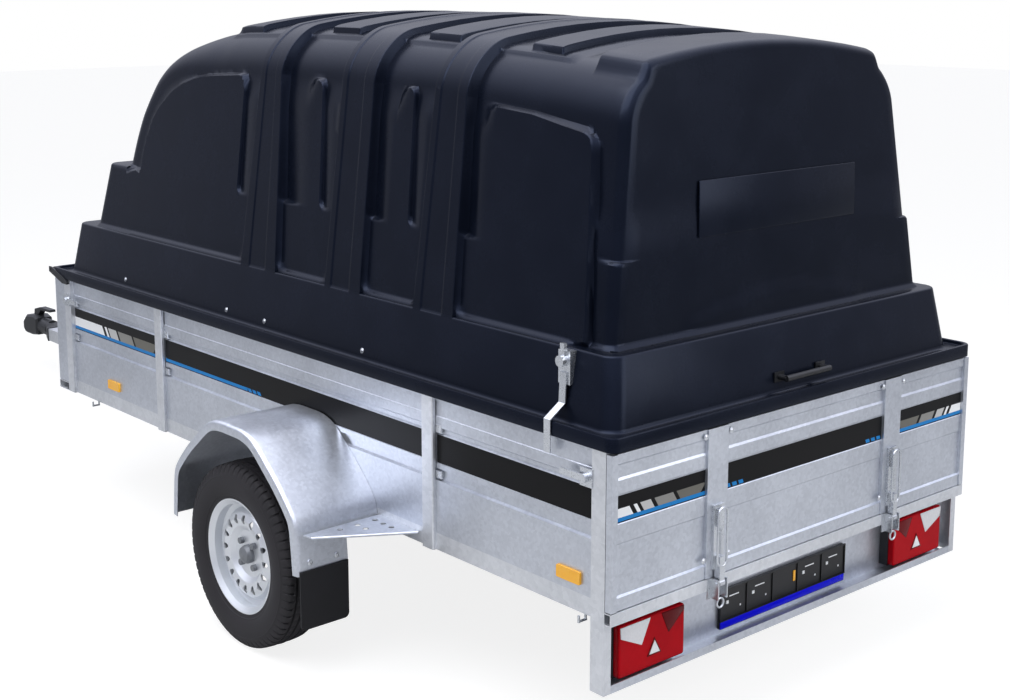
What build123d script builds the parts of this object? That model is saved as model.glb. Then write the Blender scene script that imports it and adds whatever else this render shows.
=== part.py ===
from build123d import *
import math
import os

# Covered utility trailer, millimetres.  While the pieces are made, X runs forwards
# from the rear face of the rear corner posts, Y runs to the left from the centre
# plane and Z runs up from the ground.  At the end all pieces are moved along X
# together, so that the origin lies on the ground under the middle of the outline.

# ---------------------------------------------------------------- driving sizes
# box
box_width = 1560.0
box_length = 3085.0
frame_bottom = 432.0
rail_height = 50.0
rail_depth = 48.0
wall_height = 400.0
wall_thickness = 26.0
post_width = 50.0
post_stand = 12.0
corner_post_depth = 25.0
sheet = 3.0
fit_gap = 0.3
floor_thickness = 12.0
side_post_places = (690.0, box_length - 847.0)
member_count = 6
member_start = 300.0
rear_post_bottom = 240.0
beam_height = 33.0
gate_gap = 2.0
gate_thickness = 21.0
gate_top_gap = 6.0
front_gate_depth = 78.0
upright_width = 80.0
upright_centre = 387.0

# wheels and axle
guard_outer = box_width / 2 + 280.0
axle_place = 1335.0
tyre_radius = 289.0
tyre_width = 155.0
wheel_centre = guard_outer - 94.0
rim_radius = 182.0
rim_width = 127.0
seat_gap = 0.3
spindle_radius = 15.0
running_fit = 0.05
axle_tube = 60.0
arm_lead = 165.0
arm_rise = 62.0
arm_thickness = 36.0

# mudguards
guard_sheet = 3.0
guard_flange = 26.0
guard_foot = 342.0
flap_drop = 175.0

# drawbar and coupling
arm_width = 50.0
arm_height = 60.0
arm_wall = 4.0
coupling_nose = 5120.0
ball_place = coupling_nose - 58.0
drawbar_rear = 1830.0
drawbar_rear_y = 585.0
drawbar_crank = box_length + 35.0
drawbar_front = coupling_nose - 380.0
drawbar_front_y = 52.0
coupling_height = 252.0
ball_radius = 25.0
ball_play = 0.5
cup_depth = 36.0

# jockey wheel
jockey_place = coupling_nose - 920.0
jockey_tube_radius = 24.0
jockey_tube_wall = 3.0
jockey_wheel_radius = 100.0
jockey_wheel_width = 46.0
jockey_trail = 42.0
jockey_raise = 40.0
jockey_extend = 150.0
jockey_pin = 8.0

# lamps, plate and reflectors
lamp_width = 246.0
lamp_height = 142.0
lamp_depth = 50.0
lamp_outer = box_width / 2 - 64.0
plate_width = 560.0
plate_height = 115.0
plate_depth = 8.0
panel_recess = 60.0
reflector_length = 88.0
reflector_height = 34.0
reflector_places = (96.0, box_length - 495.0)
hook_places = (92.0, 1000.0, 1900.0, box_length - 285.0)

# cover
lip_height = 38.0
lip_overhang = 5.0
lip_ledge = 48.0
lip_step = 12.0
skirt_top_height = 190.0
skirt_taper = 30.0
hood_ledge = 58.0
hood_height = 800.0
crown_place = 1550.0
crown_radius = 16500.0
nose_step = 165.0
nose_step_height = 232.0
hood_rear_slope = 0.063
hood_shoulder = 130.0
hood_corner = 42.0
skirt_round = 10.0
hood_crown = 62.0
cover_wall = 6.0
foot_height = 218.0
strip_height = 622.0
pillar_places = (790.0, 1240.0, 1722.0)
pillar_width = 168.0
pillar_stand = 28.0
pad_places = (560.0, 1000.0, 1510.0, 2075.0)
pad_width = 140.0
pad_half = 470.0
pad_stand = 26.0
badge_stand = 4.0

# ---------------------------------------------------------------- worked out
half = box_width / 2
wall_face = half - post_stand
wall_inside = wall_face - wall_thickness
rail_top = frame_bottom + rail_height
wall_top = rail_top + wall_height
rail_inside = wall_face - rail_depth
floor_top = rail_top + floor_thickness
beam_top = frame_bottom + beam_height
gate_bottom = beam_top + gate_gap
gate_top = wall_top - gate_top_gap
tail_face = -gate_thickness - 1
front_post_front = box_length - front_gate_depth - gate_gap
front_gate_rear = box_length - front_gate_depth
wheel_height = tyre_radius
hub_face = wheel_centre + 19.0
tube_z = wheel_height + arm_rise
tube_x = axle_place + arm_lead
lip_bottom = wall_top + 0.5
lip_top = lip_bottom + lip_height
ledge_top = lip_top - lip_step
skirt_top = lip_bottom + lip_height + skirt_top_height - lip_step
hood_base = skirt_top
lip_rear = tail_face - lip_overhang
lip_front = box_length + lip_overhang
lip_side = half + lip_overhang
skirt_foot = lip_side - lip_ledge
skirt_head = skirt_foot - skirt_taper
# the hood's levels: half width at its base, lean of the side, rise of the roof
hood_level = (skirt_head - 55.0, 0.130, 0.0)
column_level = (skirt_head - 38.0, 0.140, 0.0)
panel_level = (skirt_head - 20.0, 0.155, 0.0)
pillar_level = (skirt_head - 1.0, 0.165, pillar_stand)
pad_level = (skirt_head - 55.0, 0.130, pad_stand)
hood_rear = lip_rear + lip_ledge + skirt_taper + hood_ledge
hood_front = lip_front - lip_ledge - skirt_taper - hood_ledge


# ---------------------------------------------------------------- helpers
def block(x0, x1, y0, y1, z0, z1):
    """Box between two opposite corners."""
    size = (abs(x1 - x0), abs(y1 - y0), abs(z1 - z0))
    return Pos((x0 + x1) / 2, (y0 + y1) / 2, (z0 + z1) / 2) * Box(*size)


def rod(start, end, radius):
    """Round bar between two points."""
    way = Vector(*end) - Vector(*start)
    plane = Plane(origin=start, z_dir=way.normalized())
    return extrude(plane * Circle(radius), amount=way.length)


def flip(shape):
    """The same piece on the other side of the centre plane."""
    return mirror(shape, about=Plane.XZ)


def pair(shape):
    """A piece and its mirror image, as one node of two solids."""
    return Compound([shape, flip(shape)])


def side_plate(points, y0, y1, round_off=0.0):
    """Plate with an outline in X and Z, from y0 to y1."""
    outline = make_face(Polyline(*[(x, 0, z) for x, z in points], close=True))
    if round_off:
        outline = fillet(outline.vertices(), round_off)
    return Pos(0, y0, 0) * extrude(outline, amount=y1 - y0, dir=(0, 1, 0))


def cross_plate(points, x0, x1):
    """Plate with an outline in Y and Z, from x0 to x1."""
    outline = make_face(Polyline(*[(0, y, z) for y, z in points], close=True))
    return Pos(x0, 0, 0) * extrude(outline, amount=x1 - x0, dir=(1, 0, 0))


def turned(points, centre):
    """Ring turned about a line along Y; the points are (radius, y)."""
    outline = make_face(Polyline(*[(r, y, 0) for r, y in points], close=True))
    return Pos(*centre) * revolve(outline, axis=Axis.Y)


def along_y(centre, radius, y0, y1):
    """Round bar along Y."""
    return rod((centre[0], y0, centre[1]), (centre[0], y1, centre[1]), radius)


def rounded_layer(x0, x1, y, z, radius):
    """Rounded rectangle, level at height z."""
    centre = ((x0 + x1) / 2, 0, z)
    return Plane(origin=centre) * RectangleRounded(x1 - x0, 2 * y, radius)


# ---------------------------------------------------------------- frame
def side_rail():
    """C section open to the middle, under the left wall."""
    body = block(post_width, front_post_front - post_width, rail_inside, wall_face, frame_bottom, rail_top)
    hollow = block(0, box_length, rail_inside - 1, wall_face - sheet, frame_bottom + sheet,
                   rail_top - sheet)
    return body - hollow


def rear_beam():
    """Rear crossbeam, an open section with open ends."""
    body = block(tail_face, corner_post_depth, -half, half, frame_bottom, beam_top)
    hollow = block(tail_face + sheet, corner_post_depth + 1, -half - 1, half + 1, frame_bottom + sheet,
                   beam_top - sheet)
    body -= hollow
    notch = block(-fit_gap, post_width, half - corner_post_depth - fit_gap, half + 1, frame_bottom - 1,
                  beam_top + 1)
    return body - notch - flip(notch)


def front_beam():
    """Front crossbeam between the front posts."""
    body = block(front_gate_rear, box_length, -half, half, frame_bottom, beam_top)
    hollow = block(front_gate_rear - 1, box_length - sheet, -half - 1, half + 1, frame_bottom + sheet,
                   beam_top - sheet)
    return body - hollow


member_width = 30.0
member_pitch = (box_length - member_start - 335.0) / (member_count - 1)
member_places = [member_start + member_pitch * i for i in range(member_count)]


def crossmember(x):
    """Z section across the frame, between the two rails."""
    web = block(x, x + sheet, -rail_inside, rail_inside, frame_bottom, rail_top)
    top = block(x, x + member_width, -rail_inside, rail_inside, rail_top - sheet, rail_top)
    foot = block(x - member_width, x + sheet, -rail_inside, rail_inside, frame_bottom, frame_bottom + sheet)
    return web + top + foot


bearer_y = 585.0
bearer_width = 50.0
bearer_height = 50.0
bearer_rear = 700.0
bearer_front = 1800.0
bearer_bottom = frame_bottom - bearer_height


def bearer():
    """Lengthwise C section that carries the axle."""
    body = block(bearer_rear, bearer_front, bearer_y - bearer_width / 2, bearer_y + bearer_width / 2,
                 bearer_bottom, frame_bottom)
    inner = bearer_y + bearer_width / 2 - sheet
    return body - block(0, box_length, bearer_y - bearer_width, inner, bearer_bottom + sheet,
                        frame_bottom - sheet)


def floor_board():
    board = block(1, front_gate_rear - 1, -wall_inside, wall_inside, rail_top, floor_top)
    corner = block(-1, post_width, half - corner_post_depth, half, 0, wall_top)
    return board - corner - flip(corner)


def axle_beam():
    """Square torsion axle tube with a seat plate under each bearer."""
    reach = wheel_centre - tyre_width / 2 - arm_thickness - 50
    tube = block(tube_x - axle_tube / 2, tube_x + axle_tube / 2, -reach, reach, tube_z - axle_tube / 2,
                 tube_z + axle_tube / 2)
    seat = block(tube_x - 70, tube_x + 70, bearer_y - 40, bearer_y + 40, tube_z + axle_tube / 2 - 1,
                 bearer_bottom)
    return tube + seat + flip(seat)


arm_inside = wheel_centre - tyre_width / 2 - arm_thickness - 50


def swing_arm():
    """Trailing arm with the wheel spindle on its end."""
    y0 = arm_inside
    y1 = y0 + arm_thickness
    top = along_y((tube_x, tube_z), 42, y0, y1)
    end = along_y((axle_place, wheel_height), 34, y0, y1)
    way = Vector(tube_x - axle_place, 0, tube_z - wheel_height).normalized()
    side = Vector(-way.Z, 0, way.X)
    hinge = Vector(tube_x, 0, tube_z)
    wheel = Vector(axle_place, 0, wheel_height)
    corners = [hinge + side * 36, wheel + side * 28, wheel - side * 28, hinge - side * 36]
    web = side_plate([(c.X, c.Z) for c in corners], y0, y1)
    spindle = along_y((axle_place, wheel_height), spindle_radius, y1 - 1, hub_face + 4)
    return top + web + end + spindle


# ---------------------------------------------------------------- drawbar
def drawbar_y(x):
    """Distance of the drawbar arm from the centre plane."""
    share = (x - drawbar_rear) / (drawbar_front - drawbar_rear)
    return drawbar_rear_y + (drawbar_front_y - drawbar_rear_y) * share


def drawbar_z(x):
    """Height of the middle of the drawbar arm."""
    level = frame_bottom - arm_height / 2
    if x <= drawbar_crank:
        return level
    share = (x - drawbar_crank) / (drawbar_front - drawbar_crank)
    return level + (coupling_height - level) * share


def arm_run(x0, x1, width, height):
    """Straight run of the drawbar arm."""
    ends = []
    for x in (x0, x1):
        plane = Plane(origin=(x, drawbar_y(x), drawbar_z(x)), x_dir=(0, 1, 0), z_dir=(1, 0, 0))
        ends.append(plane * Rectangle(width, height))
    return loft(ends, ruled=True)


def drawbar_arm():
    """Box tube with a crank in front of the box."""
    body = arm_run(drawbar_rear, drawbar_crank, arm_width, arm_height)
    body += arm_run(drawbar_crank, drawbar_front, arm_width, arm_height)
    inner = (arm_width - 2 * arm_wall, arm_height - 2 * arm_wall)
    return body - arm_run(drawbar_rear, drawbar_crank, *inner) - arm_run(drawbar_crank, drawbar_front,
                                                                         *inner)


neck_radius = 30.0
mount_length = 110.0


def coupling_mount():
    """Welded nose that joins the two arms and carries the coupling."""
    spread = drawbar_front_y + arm_width / 2 + 4
    rear = Plane(origin=(drawbar_front, 0, coupling_height), x_dir=(0, 1, 0), z_dir=(1, 0, 0))
    front = Plane(origin=(drawbar_front + mount_length, 0, coupling_height), x_dir=(0, 1, 0),
                  z_dir=(1, 0, 0))
    nose = loft([rear * Rectangle(2 * spread, arm_height + 8), front * Rectangle(80, arm_height + 8)],
                ruled=True)
    neck = rod((drawbar_front + mount_length - 1, 0, coupling_height),
               (ball_place - 90, 0, coupling_height), neck_radius)
    return nose + neck


def coupling_head():
    """Ball coupling: sleeve over the neck, housing, and the ball cup below."""
    rear = drawbar_front + mount_length + 2
    sleeve = rod((rear, 0, coupling_height), (ball_place - 60, 0, coupling_height), 42)
    width = 46.0
    tip = coupling_nose
    outline = [
        (ball_place - 110, coupling_height - 44),
        (ball_place - 40, coupling_height - 54),
        (ball_place + 34, coupling_height - 54),
        (tip, coupling_height - 34),
        (tip, coupling_height + 8),
        (ball_place + 20, coupling_height + 44),
        (ball_place - 70, coupling_height + 54),
        (ball_place - 110, coupling_height + 44),
    ]
    housing = side_plate(outline, -width, width)
    housing = chamfer(housing.faces().sort_by(Axis.Y)[0].edges(), 10)
    housing = chamfer(housing.faces().sort_by(Axis.Y)[-1].edges(), 10)
    bore = rod((rear - 1, 0, coupling_height), (ball_place - 88, 0, coupling_height), neck_radius + 0.3)
    cup_top = coupling_height - 54 + cup_depth
    cup = rod((ball_place, 0, coupling_height - 55), (ball_place, 0, cup_top), ball_radius + ball_play)
    dome = Pos(ball_place, 0, cup_top) * Sphere(ball_radius + ball_play)
    return sleeve + housing - bore - cup - dome


def coupling_lever():
    """Release lever on top of the coupling."""
    z = coupling_height + 54
    outline = [
        (ball_place - 72, z + 0.3),
        (ball_place - 24, z - 3.5),
        (ball_place - 30, z + 26),
        (ball_place - 96, z + 44),
        (ball_place - 214, z + 46),
        (ball_place - 214, z + 34),
        (ball_place - 104, z + 30),
    ]
    return side_plate(outline, -16, 16)


# ---------------------------------------------------------------- jockey wheel
jockey_y = -(drawbar_y(jockey_place) + arm_width / 2 + jockey_tube_radius + 12)
jockey_axle_x = jockey_place - jockey_trail
fork_top = 2 * jockey_wheel_radius + 22.0
outer_bottom = fork_top + jockey_raise + 8.0
outer_top = outer_bottom + 365.0
inner_radius = jockey_tube_radius - jockey_tube_wall - running_fit
inner_top = outer_bottom + jockey_extend + 60.0


def upright_rod(z0, z1, radius):
    """Round bar on the jockey wheel's steering line."""
    return rod((jockey_place, jockey_y, z0), (jockey_place, jockey_y, z1), radius)


def jockey_outer_tube():
    tube = upright_rod(outer_bottom, outer_top, jockey_tube_radius)
    return tube - upright_rod(outer_bottom - 1, outer_top - 6, jockey_tube_radius - jockey_tube_wall)


def jockey_clamp():
    """Split collar on the tube, with a bracket bolted to the drawbar arm."""
    z = drawbar_z(jockey_place)
    collar = upright_rod(z - 24, z + 40, jockey_tube_radius + 7)
    face = -(drawbar_y(jockey_place) + arm_width / 2)
    bracket = block(jockey_place - 45, jockey_place + 45, face + 6, jockey_y, z - 24, z + 24)
    arm = arm_run(jockey_place - 60, jockey_place + 60, arm_width + 0.02, arm_height + 60)
    knob = rod((jockey_place, jockey_y - 28, z + 20), (jockey_place, jockey_y - 62, z + 20), 6)
    bore = upright_rod(z - 30, z + 50, jockey_tube_radius)
    return collar + bracket + knob - flip(arm) - bore


def jockey_crank():
    """Crank handle on top of the tube."""
    z = outer_top
    shaft = upright_rod(z, z + 34, 9)
    arm = block(jockey_place - 9, jockey_place + 128, jockey_y - 9, jockey_y + 9, z + 30, z + 38)
    grip = rod((jockey_place + 116, jockey_y, z + 38), (jockey_place + 116, jockey_y, z + 112), 13)
    cap = upright_rod(z, z + 14, jockey_tube_radius + 3)
    return shaft + arm + grip + cap


def jockey_inner_tube():
    tube = upright_rod(fork_top + 1, inner_top, inner_radius)
    tube -= upright_rod(fork_top + 14, inner_top + 1, inner_radius - 3)
    return tube + upright_rod(fork_top - 14, fork_top + 2, jockey_pin)


def jockey_fork():
    """Fork turned from one strap, around the wheel."""
    outside = jockey_wheel_width / 2 + 9
    x0 = jockey_axle_x - 22
    x1 = jockey_place + 26
    plate = block(x0, x1, jockey_y - outside, jockey_y + outside, fork_top - 10, fork_top)
    cheek = block(jockey_axle_x - 20, jockey_axle_x + 20, jockey_y + outside - 5, jockey_y + outside,
                  jockey_wheel_radius - 18, fork_top)
    other = Pos(0, -(2 * outside - 5), 0) * cheek
    axle = along_y((jockey_axle_x, jockey_wheel_radius), 8, jockey_y - outside, jockey_y + outside)
    bore = upright_rod(fork_top - 20, fork_top + 1, jockey_pin + running_fit)
    return plate + cheek + other + axle - bore


def jockey_tyre():
    r = jockey_wheel_radius
    w = jockey_wheel_width / 2
    points = [(r - 28, -w), (r - 10, -w), (r - 3, -w + 6), (r, -w + 14), (r, w - 14), (r - 3, w - 6),
              (r - 10, w), (r - 28, w)]
    return turned(points, (jockey_axle_x, jockey_y, jockey_wheel_radius))


def jockey_hub():
    r = jockey_wheel_radius - 28
    w = jockey_wheel_width / 2
    bore = 8 + running_fit
    points = [(bore, -w - 2), (16, -w - 2), (16, -8), (r - 10, -8), (r - 10, -w), (r, -w), (r, w),
              (r - 10, w), (r - 10, 8), (16, 8), (16, w + 2), (bore, w + 2)]
    return turned(points, (jockey_axle_x, jockey_y, jockey_wheel_radius))


# ---------------------------------------------------------------- wheels
def tyre():
    """Hollow tyre whose beads sit between the rim's flanges."""
    r = tyre_radius
    w = tyre_width / 2
    seat = rim_radius - 17 + seat_gap
    bead = rim_width / 2 - 12 - seat_gap
    side = [
        (seat, bead - 12),
        (seat, bead),
        (rim_radius - 2, bead + 4),
        (rim_radius + 1, bead + 6),
        (rim_radius + 3, bead + 13),
        (rim_radius + 20, w - 3),
        (r - 52, w),
        (r - 30, w - 4),
        (r - 10, w - 13),
        (r - 2, w - 22),
        (r, w - 36),
    ]
    inner = [(r - 12, w - 34), (r - 30, w - 12), (r - 52, w - 8), (rim_radius + 16, w - 12)]
    points = [(a, wheel_centre + b) for a, b in side + [(a, -b) for a, b in reversed(side)]]
    hollow = [(a, wheel_centre - b) for a, b in reversed(inner)] + [(a, wheel_centre + b) for a, b in inner]
    return turned(points + hollow, (axle_place, 0, wheel_height))


vent_count = 16
vent_circle = 112.0
bolt_count = 4
bolt_circle = 49.0


def rim():
    """Pressed steel wheel: well, two flanges and a dished disc."""
    t = 4.0
    w = rim_width / 2
    outer = [
        (rim_radius - 2, w), (rim_radius, w - 3), (rim_radius - 2, w - 8), (rim_radius - 17, w - 12),
        (rim_radius - 17, w - 40), (rim_radius - 34, w - 48),
        (rim_radius - 34, -w + 42), (rim_radius - 17, -w + 34),
        (rim_radius - 17, -w + 12), (rim_radius - 2, -w + 8), (rim_radius, -w + 3), (rim_radius - 2, -w),
    ]
    inner = [
        (rim_radius - 6, -w), (rim_radius - 17 - t, -w + 10), (rim_radius - 17 - t, -w + 33),
        (rim_radius - 34 - t, -w + 41), (rim_radius - 34 - t, w - 47), (rim_radius - 17 - t, w - 39),
        (rim_radius - 17 - t, w - 12), (rim_radius - 6, w),
    ]
    well = turned([(r, wheel_centre + y) for r, y in outer + inner], (axle_place, 0, wheel_height))
    face = hub_face
    disc = turned([
        (29.5, face), (76, face), (92, face + 14), (112, face + 20), (128, face + 12), (143, face - 8),
        (143, face - 40), (149, face - 40), (149, face - 6), (132, face + 17), (113, face + 26),
        (90, face + 20),
        (73, face + 6), (29.5, face + 6),
    ], (axle_place, 0, wheel_height))
    cuts = []
    for i in range(vent_count):
        a = 2 * math.pi * i / vent_count
        plane = Plane(
            origin=(axle_place + vent_circle * math.cos(a), face - 30,
                    wheel_height + vent_circle * math.sin(a)),
            x_dir=(math.cos(a), 0, math.sin(a)), z_dir=(0, 1, 0))
        cuts.append(extrude(plane * Ellipse(14, 9), amount=70))
    for i in range(bolt_count):
        a = 2 * math.pi * (i + 0.5) / bolt_count
        cuts.append(along_y((axle_place + bolt_circle * math.cos(a),
                             wheel_height + bolt_circle * math.sin(a)), 7, face - 5, face + 12))
    disc = disc.cut(*cuts)
    return well + disc


def hub():
    """Hub on the spindle, with its flange, grease cap and wheel bolts."""
    bore = spindle_radius + running_fit
    y0 = arm_inside + arm_thickness + 2
    body = turned([
        (bore, y0), (38, y0), (38, hub_face - 30), (66, hub_face - 12), (66, hub_face), (29, hub_face),
        (29, hub_face + 16), (24, hub_face + 28), (8, hub_face + 34), (0, hub_face + 34), (0, hub_face + 5),
        (bore, hub_face + 5),
    ], (axle_place, 0, wheel_height))
    for i in range(bolt_count):
        a = 2 * math.pi * (i + 0.5) / bolt_count
        place = (axle_place + bolt_circle * math.cos(a), wheel_height + bolt_circle * math.sin(a))
        body += along_y(place, 6, hub_face - 1, hub_face + 8)
        body += along_y(place, 10, hub_face + 6, hub_face + 19)
    return body


# ---------------------------------------------------------------- mudguards
guard_centre = axle_place - 15.0
guard_half = 362.0
guard_rear = guard_centre - guard_half - fit_gap
step_height = 462.0
step_reach = 190.0
flap_inside = wheel_centre - tyre_width / 2
flap_top = guard_foot + 12.0


def guard_outline(inset):
    """Points of the arch over the wheel, seen from the side."""
    x = guard_centre
    rise = guard_foot - 1 if inset else guard_foot
    right = [(guard_half, rise), (350, 490), (258, 592), (140, 692), (62, 714)]
    shape = []
    for dx, z in right:
        shape.append((x + dx - inset * (1.0 if dx > 200 else 0.7), z - inset * (0.0 if z < 500 else 0.8)))
    for dx, z in reversed(right):
        shape.append((x - dx + inset * (1.0 if dx > 200 else 0.7), z - inset * (0.0 if z < 500 else 0.8)))
    return shape


def mudguard():
    """Folded arch with a turned-in flange along its outer and inner edges."""
    y0 = wall_face + 0.3
    skin = side_plate(guard_outline(0), y0, guard_outer)
    skin -= side_plate(guard_outline(guard_sheet), y0 + guard_sheet, guard_outer - guard_sheet)
    skin -= side_plate(guard_outline(guard_flange), y0 - 1, guard_outer + 1)
    return skin - block(0, guard_centre - 200, 0, flap_inside, 0, step_height)


def step_plate():
    """Three-cornered step behind the mudguard, with drain holes."""
    rear = guard_rear
    y0 = wall_face + 0.3
    outline = make_face(Polyline((rear, y0, 0), (rear, guard_outer - 20, 0),
                                 (rear - 30, guard_outer - 24, 0), (rear - step_reach, y0, 0), close=True))
    plate = Pos(0, 0, step_height) * extrude(outline, amount=sheet, dir=(0, 0, 1))
    lip = [(rear - 30, guard_outer - 24), (rear - step_reach, y0)]
    edge = rod((lip[0][0], lip[0][1] - 3, step_height), (lip[1][0], lip[1][1] + 5, step_height), 4)
    plate += edge
    for i in range(3):
        for j in range(3 - i):
            x = rear - 32 - 40 * j
            y = y0 + 42 + 62 * i
            plate -= rod((x, y, step_height - 6), (x, y, step_height + 8), 9)
    return plate - block(rear - 500, rear, 0, y0, 0, wall_top)


def mud_flap():
    x = guard_rear
    flap = block(x - 5, x, flap_inside, guard_outer - 4, flap_top - flap_drop, flap_top + 2)
    return fillet(flap.edges().filter_by(Axis.X).sort_by(Axis.Z)[:2], 16)


# ---------------------------------------------------------------- walls and posts
def side_wall():
    """Rolled side panel with its long beads and its flat band for the stripe."""
    f = wall_face
    z = rail_top
    outline = [
        (wall_inside, z), (f, z), (f, z + 156), (f - 9, z + 160), (f - 9, z + 188), (f - 2, z + 191),
        (f - 2, z + 206), (f - 4, z + 207), (f - 4, z + 290), (f - 10, z + 294), (f - 10, z + 306),
        (f - 1, z + 312),
        (f - 1, z + 342), (f - 3, z + 344), (f - 3, z + 388), (f, z + 390), (f, z + 400),
        (wall_inside, z + 400),
    ]
    panel = cross_plate(outline, post_width, front_post_front - post_width)
    return panel


def side_post(x):
    """Hat section outside the wall, over its whole height and the rail."""
    post = block(x, x + post_width, wall_face, half, frame_bottom, wall_top)
    return fillet(post.edges().filter_by(Axis.Z).sort_by(Axis.Y)[-2:], 4)


def rear_post():
    """Rear corner post, which also carries the lamp panel."""
    body = block(0, post_width, half - corner_post_depth, half, rear_post_bottom, wall_top)
    return body - block(sheet, post_width - sheet, half - 40, half - sheet, 0, wall_top + 1)


def front_post():
    rear = front_post_front - post_width
    body = block(rear, front_post_front, half - corner_post_depth, half, frame_bottom, wall_top)
    return body - block(rear + sheet, front_post_front - sheet, half - 40, half - sheet, 0, wall_top + 1)


def corner_latch(x, turn):
    """Over-centre catch on a corner post; turn is +1 where the gate lies ahead."""
    z = wall_top - 80
    plate = block(x, x - turn * 44, half, half + 3, z - 24, z + 24)
    barrel = rod((x - turn * 22, half + 3, z), (x - turn * 22, half + 17, z), 12)
    lever = block(x - turn * 22, x - turn * 108, half + 8, half + 13, z - 9, z + 9)
    return plate + barrel + lever


# ---------------------------------------------------------------- gates
def gate_profile(face, inner, way):
    """Rolled gate panel; face is the stripe's plane, inner the other side."""
    z = gate_bottom
    top = gate_top
    s = way
    return [
        (inner, z), (face, z), (face, z + 34), (face - s * 6, z + 38), (face - s * 6, z + 172),
        (face - s * 3, z + 176),
        (face - s * 3, z + 226), (face - s * 5, z + 228), (face - s * 5, z + 300), (face - s * 2, z + 306),
        (face - s * 2, z + 340), (face - s * 6, z + 346), (face - s * 6, z + 378), (face, z + 384),
        (face, top), (inner, top),
    ]


def profile_panel(points, half_width):
    outline = make_face(Polyline(*[(x, 0, z) for x, z in points], close=True))
    return Pos(0, -half_width, 0) * extrude(outline, amount=2 * half_width, dir=(0, 1, 0))


tail_inner = -1.0
stile = 20.0


def tailgate():
    panel = profile_panel(gate_profile(tail_face + 4, tail_inner, -1), half - 1)
    for side in (1, -1):
        edge = side * (half - 1)
        panel += block(tail_face, tail_inner, edge, edge - side * stile, gate_bottom, gate_top)
        centre = side * upright_centre
        panel += block(tail_face, tail_inner, centre - upright_width / 2, centre + upright_width / 2,
                       gate_bottom, gate_top)
    return panel


hinge_x = tail_face - 16.0
hinge_z = beam_top - 12.0
hinge_pin = 5.0
strap_width = 40.0
strap_top = gate_bottom + 200.0


def hinge_strap(y):
    """Long hinge strap on a tailgate upright, with its eye on the pin line."""
    strap = block(tail_face - 8, tail_face, y - strap_width / 2, y + strap_width / 2, gate_bottom + 24,
                  strap_top)
    neck = block(hinge_x - 7, tail_face - 4, y - 10, y + 10, hinge_z, gate_bottom + 60)
    eye = rod((hinge_x, y - 10, hinge_z), (hinge_x, y + 10, hinge_z), 10)
    grip = block(tail_face - 18, tail_face - 7, y - 9, y + 9, strap_top - 60, strap_top - 12)
    bore = rod((hinge_x, y - 11, hinge_z), (hinge_x, y + 11, hinge_z), hinge_pin + running_fit)
    clear = block(hinge_x + 10, 0, y - 30, y + 30, 0, gate_bottom)
    return strap + neck + eye + grip - bore - clear


def hinge_bracket(y):
    """Two ears and a pin on the rear crossbeam."""
    ears = []
    for side in (1, -1):
        inner = y + side * 15
        outer = y + side * 19
        ears.append(block(hinge_x - 11, tail_face, inner, outer, frame_bottom - 22, beam_top))
    base = block(tail_face - 3, tail_face, y - 34, y + 34, frame_bottom - 22, beam_top - 0.3)
    pin = rod((hinge_x, y - 22, hinge_z), (hinge_x, y + 22, hinge_z), hinge_pin)
    return base + ears[0] + ears[1] + pin


def front_gate():
    """Front gate: profiled panel with deep end stiles."""
    face = box_length - 4
    panel = profile_panel(gate_profile(face, face - 17, 1), half - 1)
    for side in (1, -1):
        y0 = min(side * (half - 1), side * (half - 1 - stile))
        panel += side_plate([(front_gate_rear, gate_bottom), (box_length, gate_bottom),
                             (box_length, gate_top),
                             (face - 17, gate_top), (front_gate_rear, gate_top - 10)], y0, y0 + stile)
        centre = side * upright_centre
        panel += block(face - 17, box_length, centre - upright_width / 2, centre + upright_width / 2,
                       gate_bottom, gate_top)
    return panel


gate_hinge_x = box_length + 11.0
gate_hinge_z = beam_top - 8.0


def gate_strap(y):
    """Hinge strap of the front gate, with its eye below the gate."""
    strap = block(box_length, box_length + 5, y - 20, y + 20, gate_bottom + 10, gate_bottom + 90)
    neck = block(box_length, gate_hinge_x + 3, y - 10, y + 10, gate_hinge_z, gate_bottom + 12)
    eye = rod((gate_hinge_x, y - 10, gate_hinge_z), (gate_hinge_x, y + 10, gate_hinge_z), 8)
    bore = rod((gate_hinge_x, y - 11, gate_hinge_z), (gate_hinge_x, y + 11, gate_hinge_z),
               hinge_pin - 1 + running_fit)
    clear = block(box_length - 10, gate_hinge_x - 8.2, y - 30, y + 30, 0, gate_bottom)
    return strap + neck + eye - bore - clear


def gate_bracket(y):
    """Two ears and a pin on the front crossbeam."""
    parts = block(box_length, box_length + 0.6, y - 30, y + 30, frame_bottom, beam_top - 0.3)
    for side in (1, -1):
        parts += block(box_length, gate_hinge_x + 7, y + side * 15, y + side * 19, frame_bottom, beam_top)
    return parts + rod((gate_hinge_x, y - 22, gate_hinge_z), (gate_hinge_x, y + 22, gate_hinge_z),
                       hinge_pin - 1)


# ---------------------------------------------------------------- lamps and plate
def light_panel():
    """Folded panel between the rear posts, below the crossbeam."""
    w = half - corner_post_depth
    bottom = rear_post_bottom
    back = block(panel_recess, panel_recess + sheet, -w, w, bottom, frame_bottom)
    shelf = block(0, panel_recess + 1, -w, w, bottom, bottom + sheet)
    lip = block(0, sheet, -w, w, bottom, bottom + 22)
    return back + shelf + lip


lamp_bottom = frame_bottom - 28.0 - lamp_height
lamp_front = panel_recess - lamp_depth


def lamp():
    """Rear lamp, a shallow box with rounded edges on the lamp panel."""
    body = block(lamp_front, panel_recess, lamp_outer - lamp_width, lamp_outer, lamp_bottom,
                 lamp_bottom + lamp_height)
    body = fillet(body.edges().filter_by(Axis.X), 8)
    return fillet(body.faces().sort_by(Axis.X)[0].edges(), 5)


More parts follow.
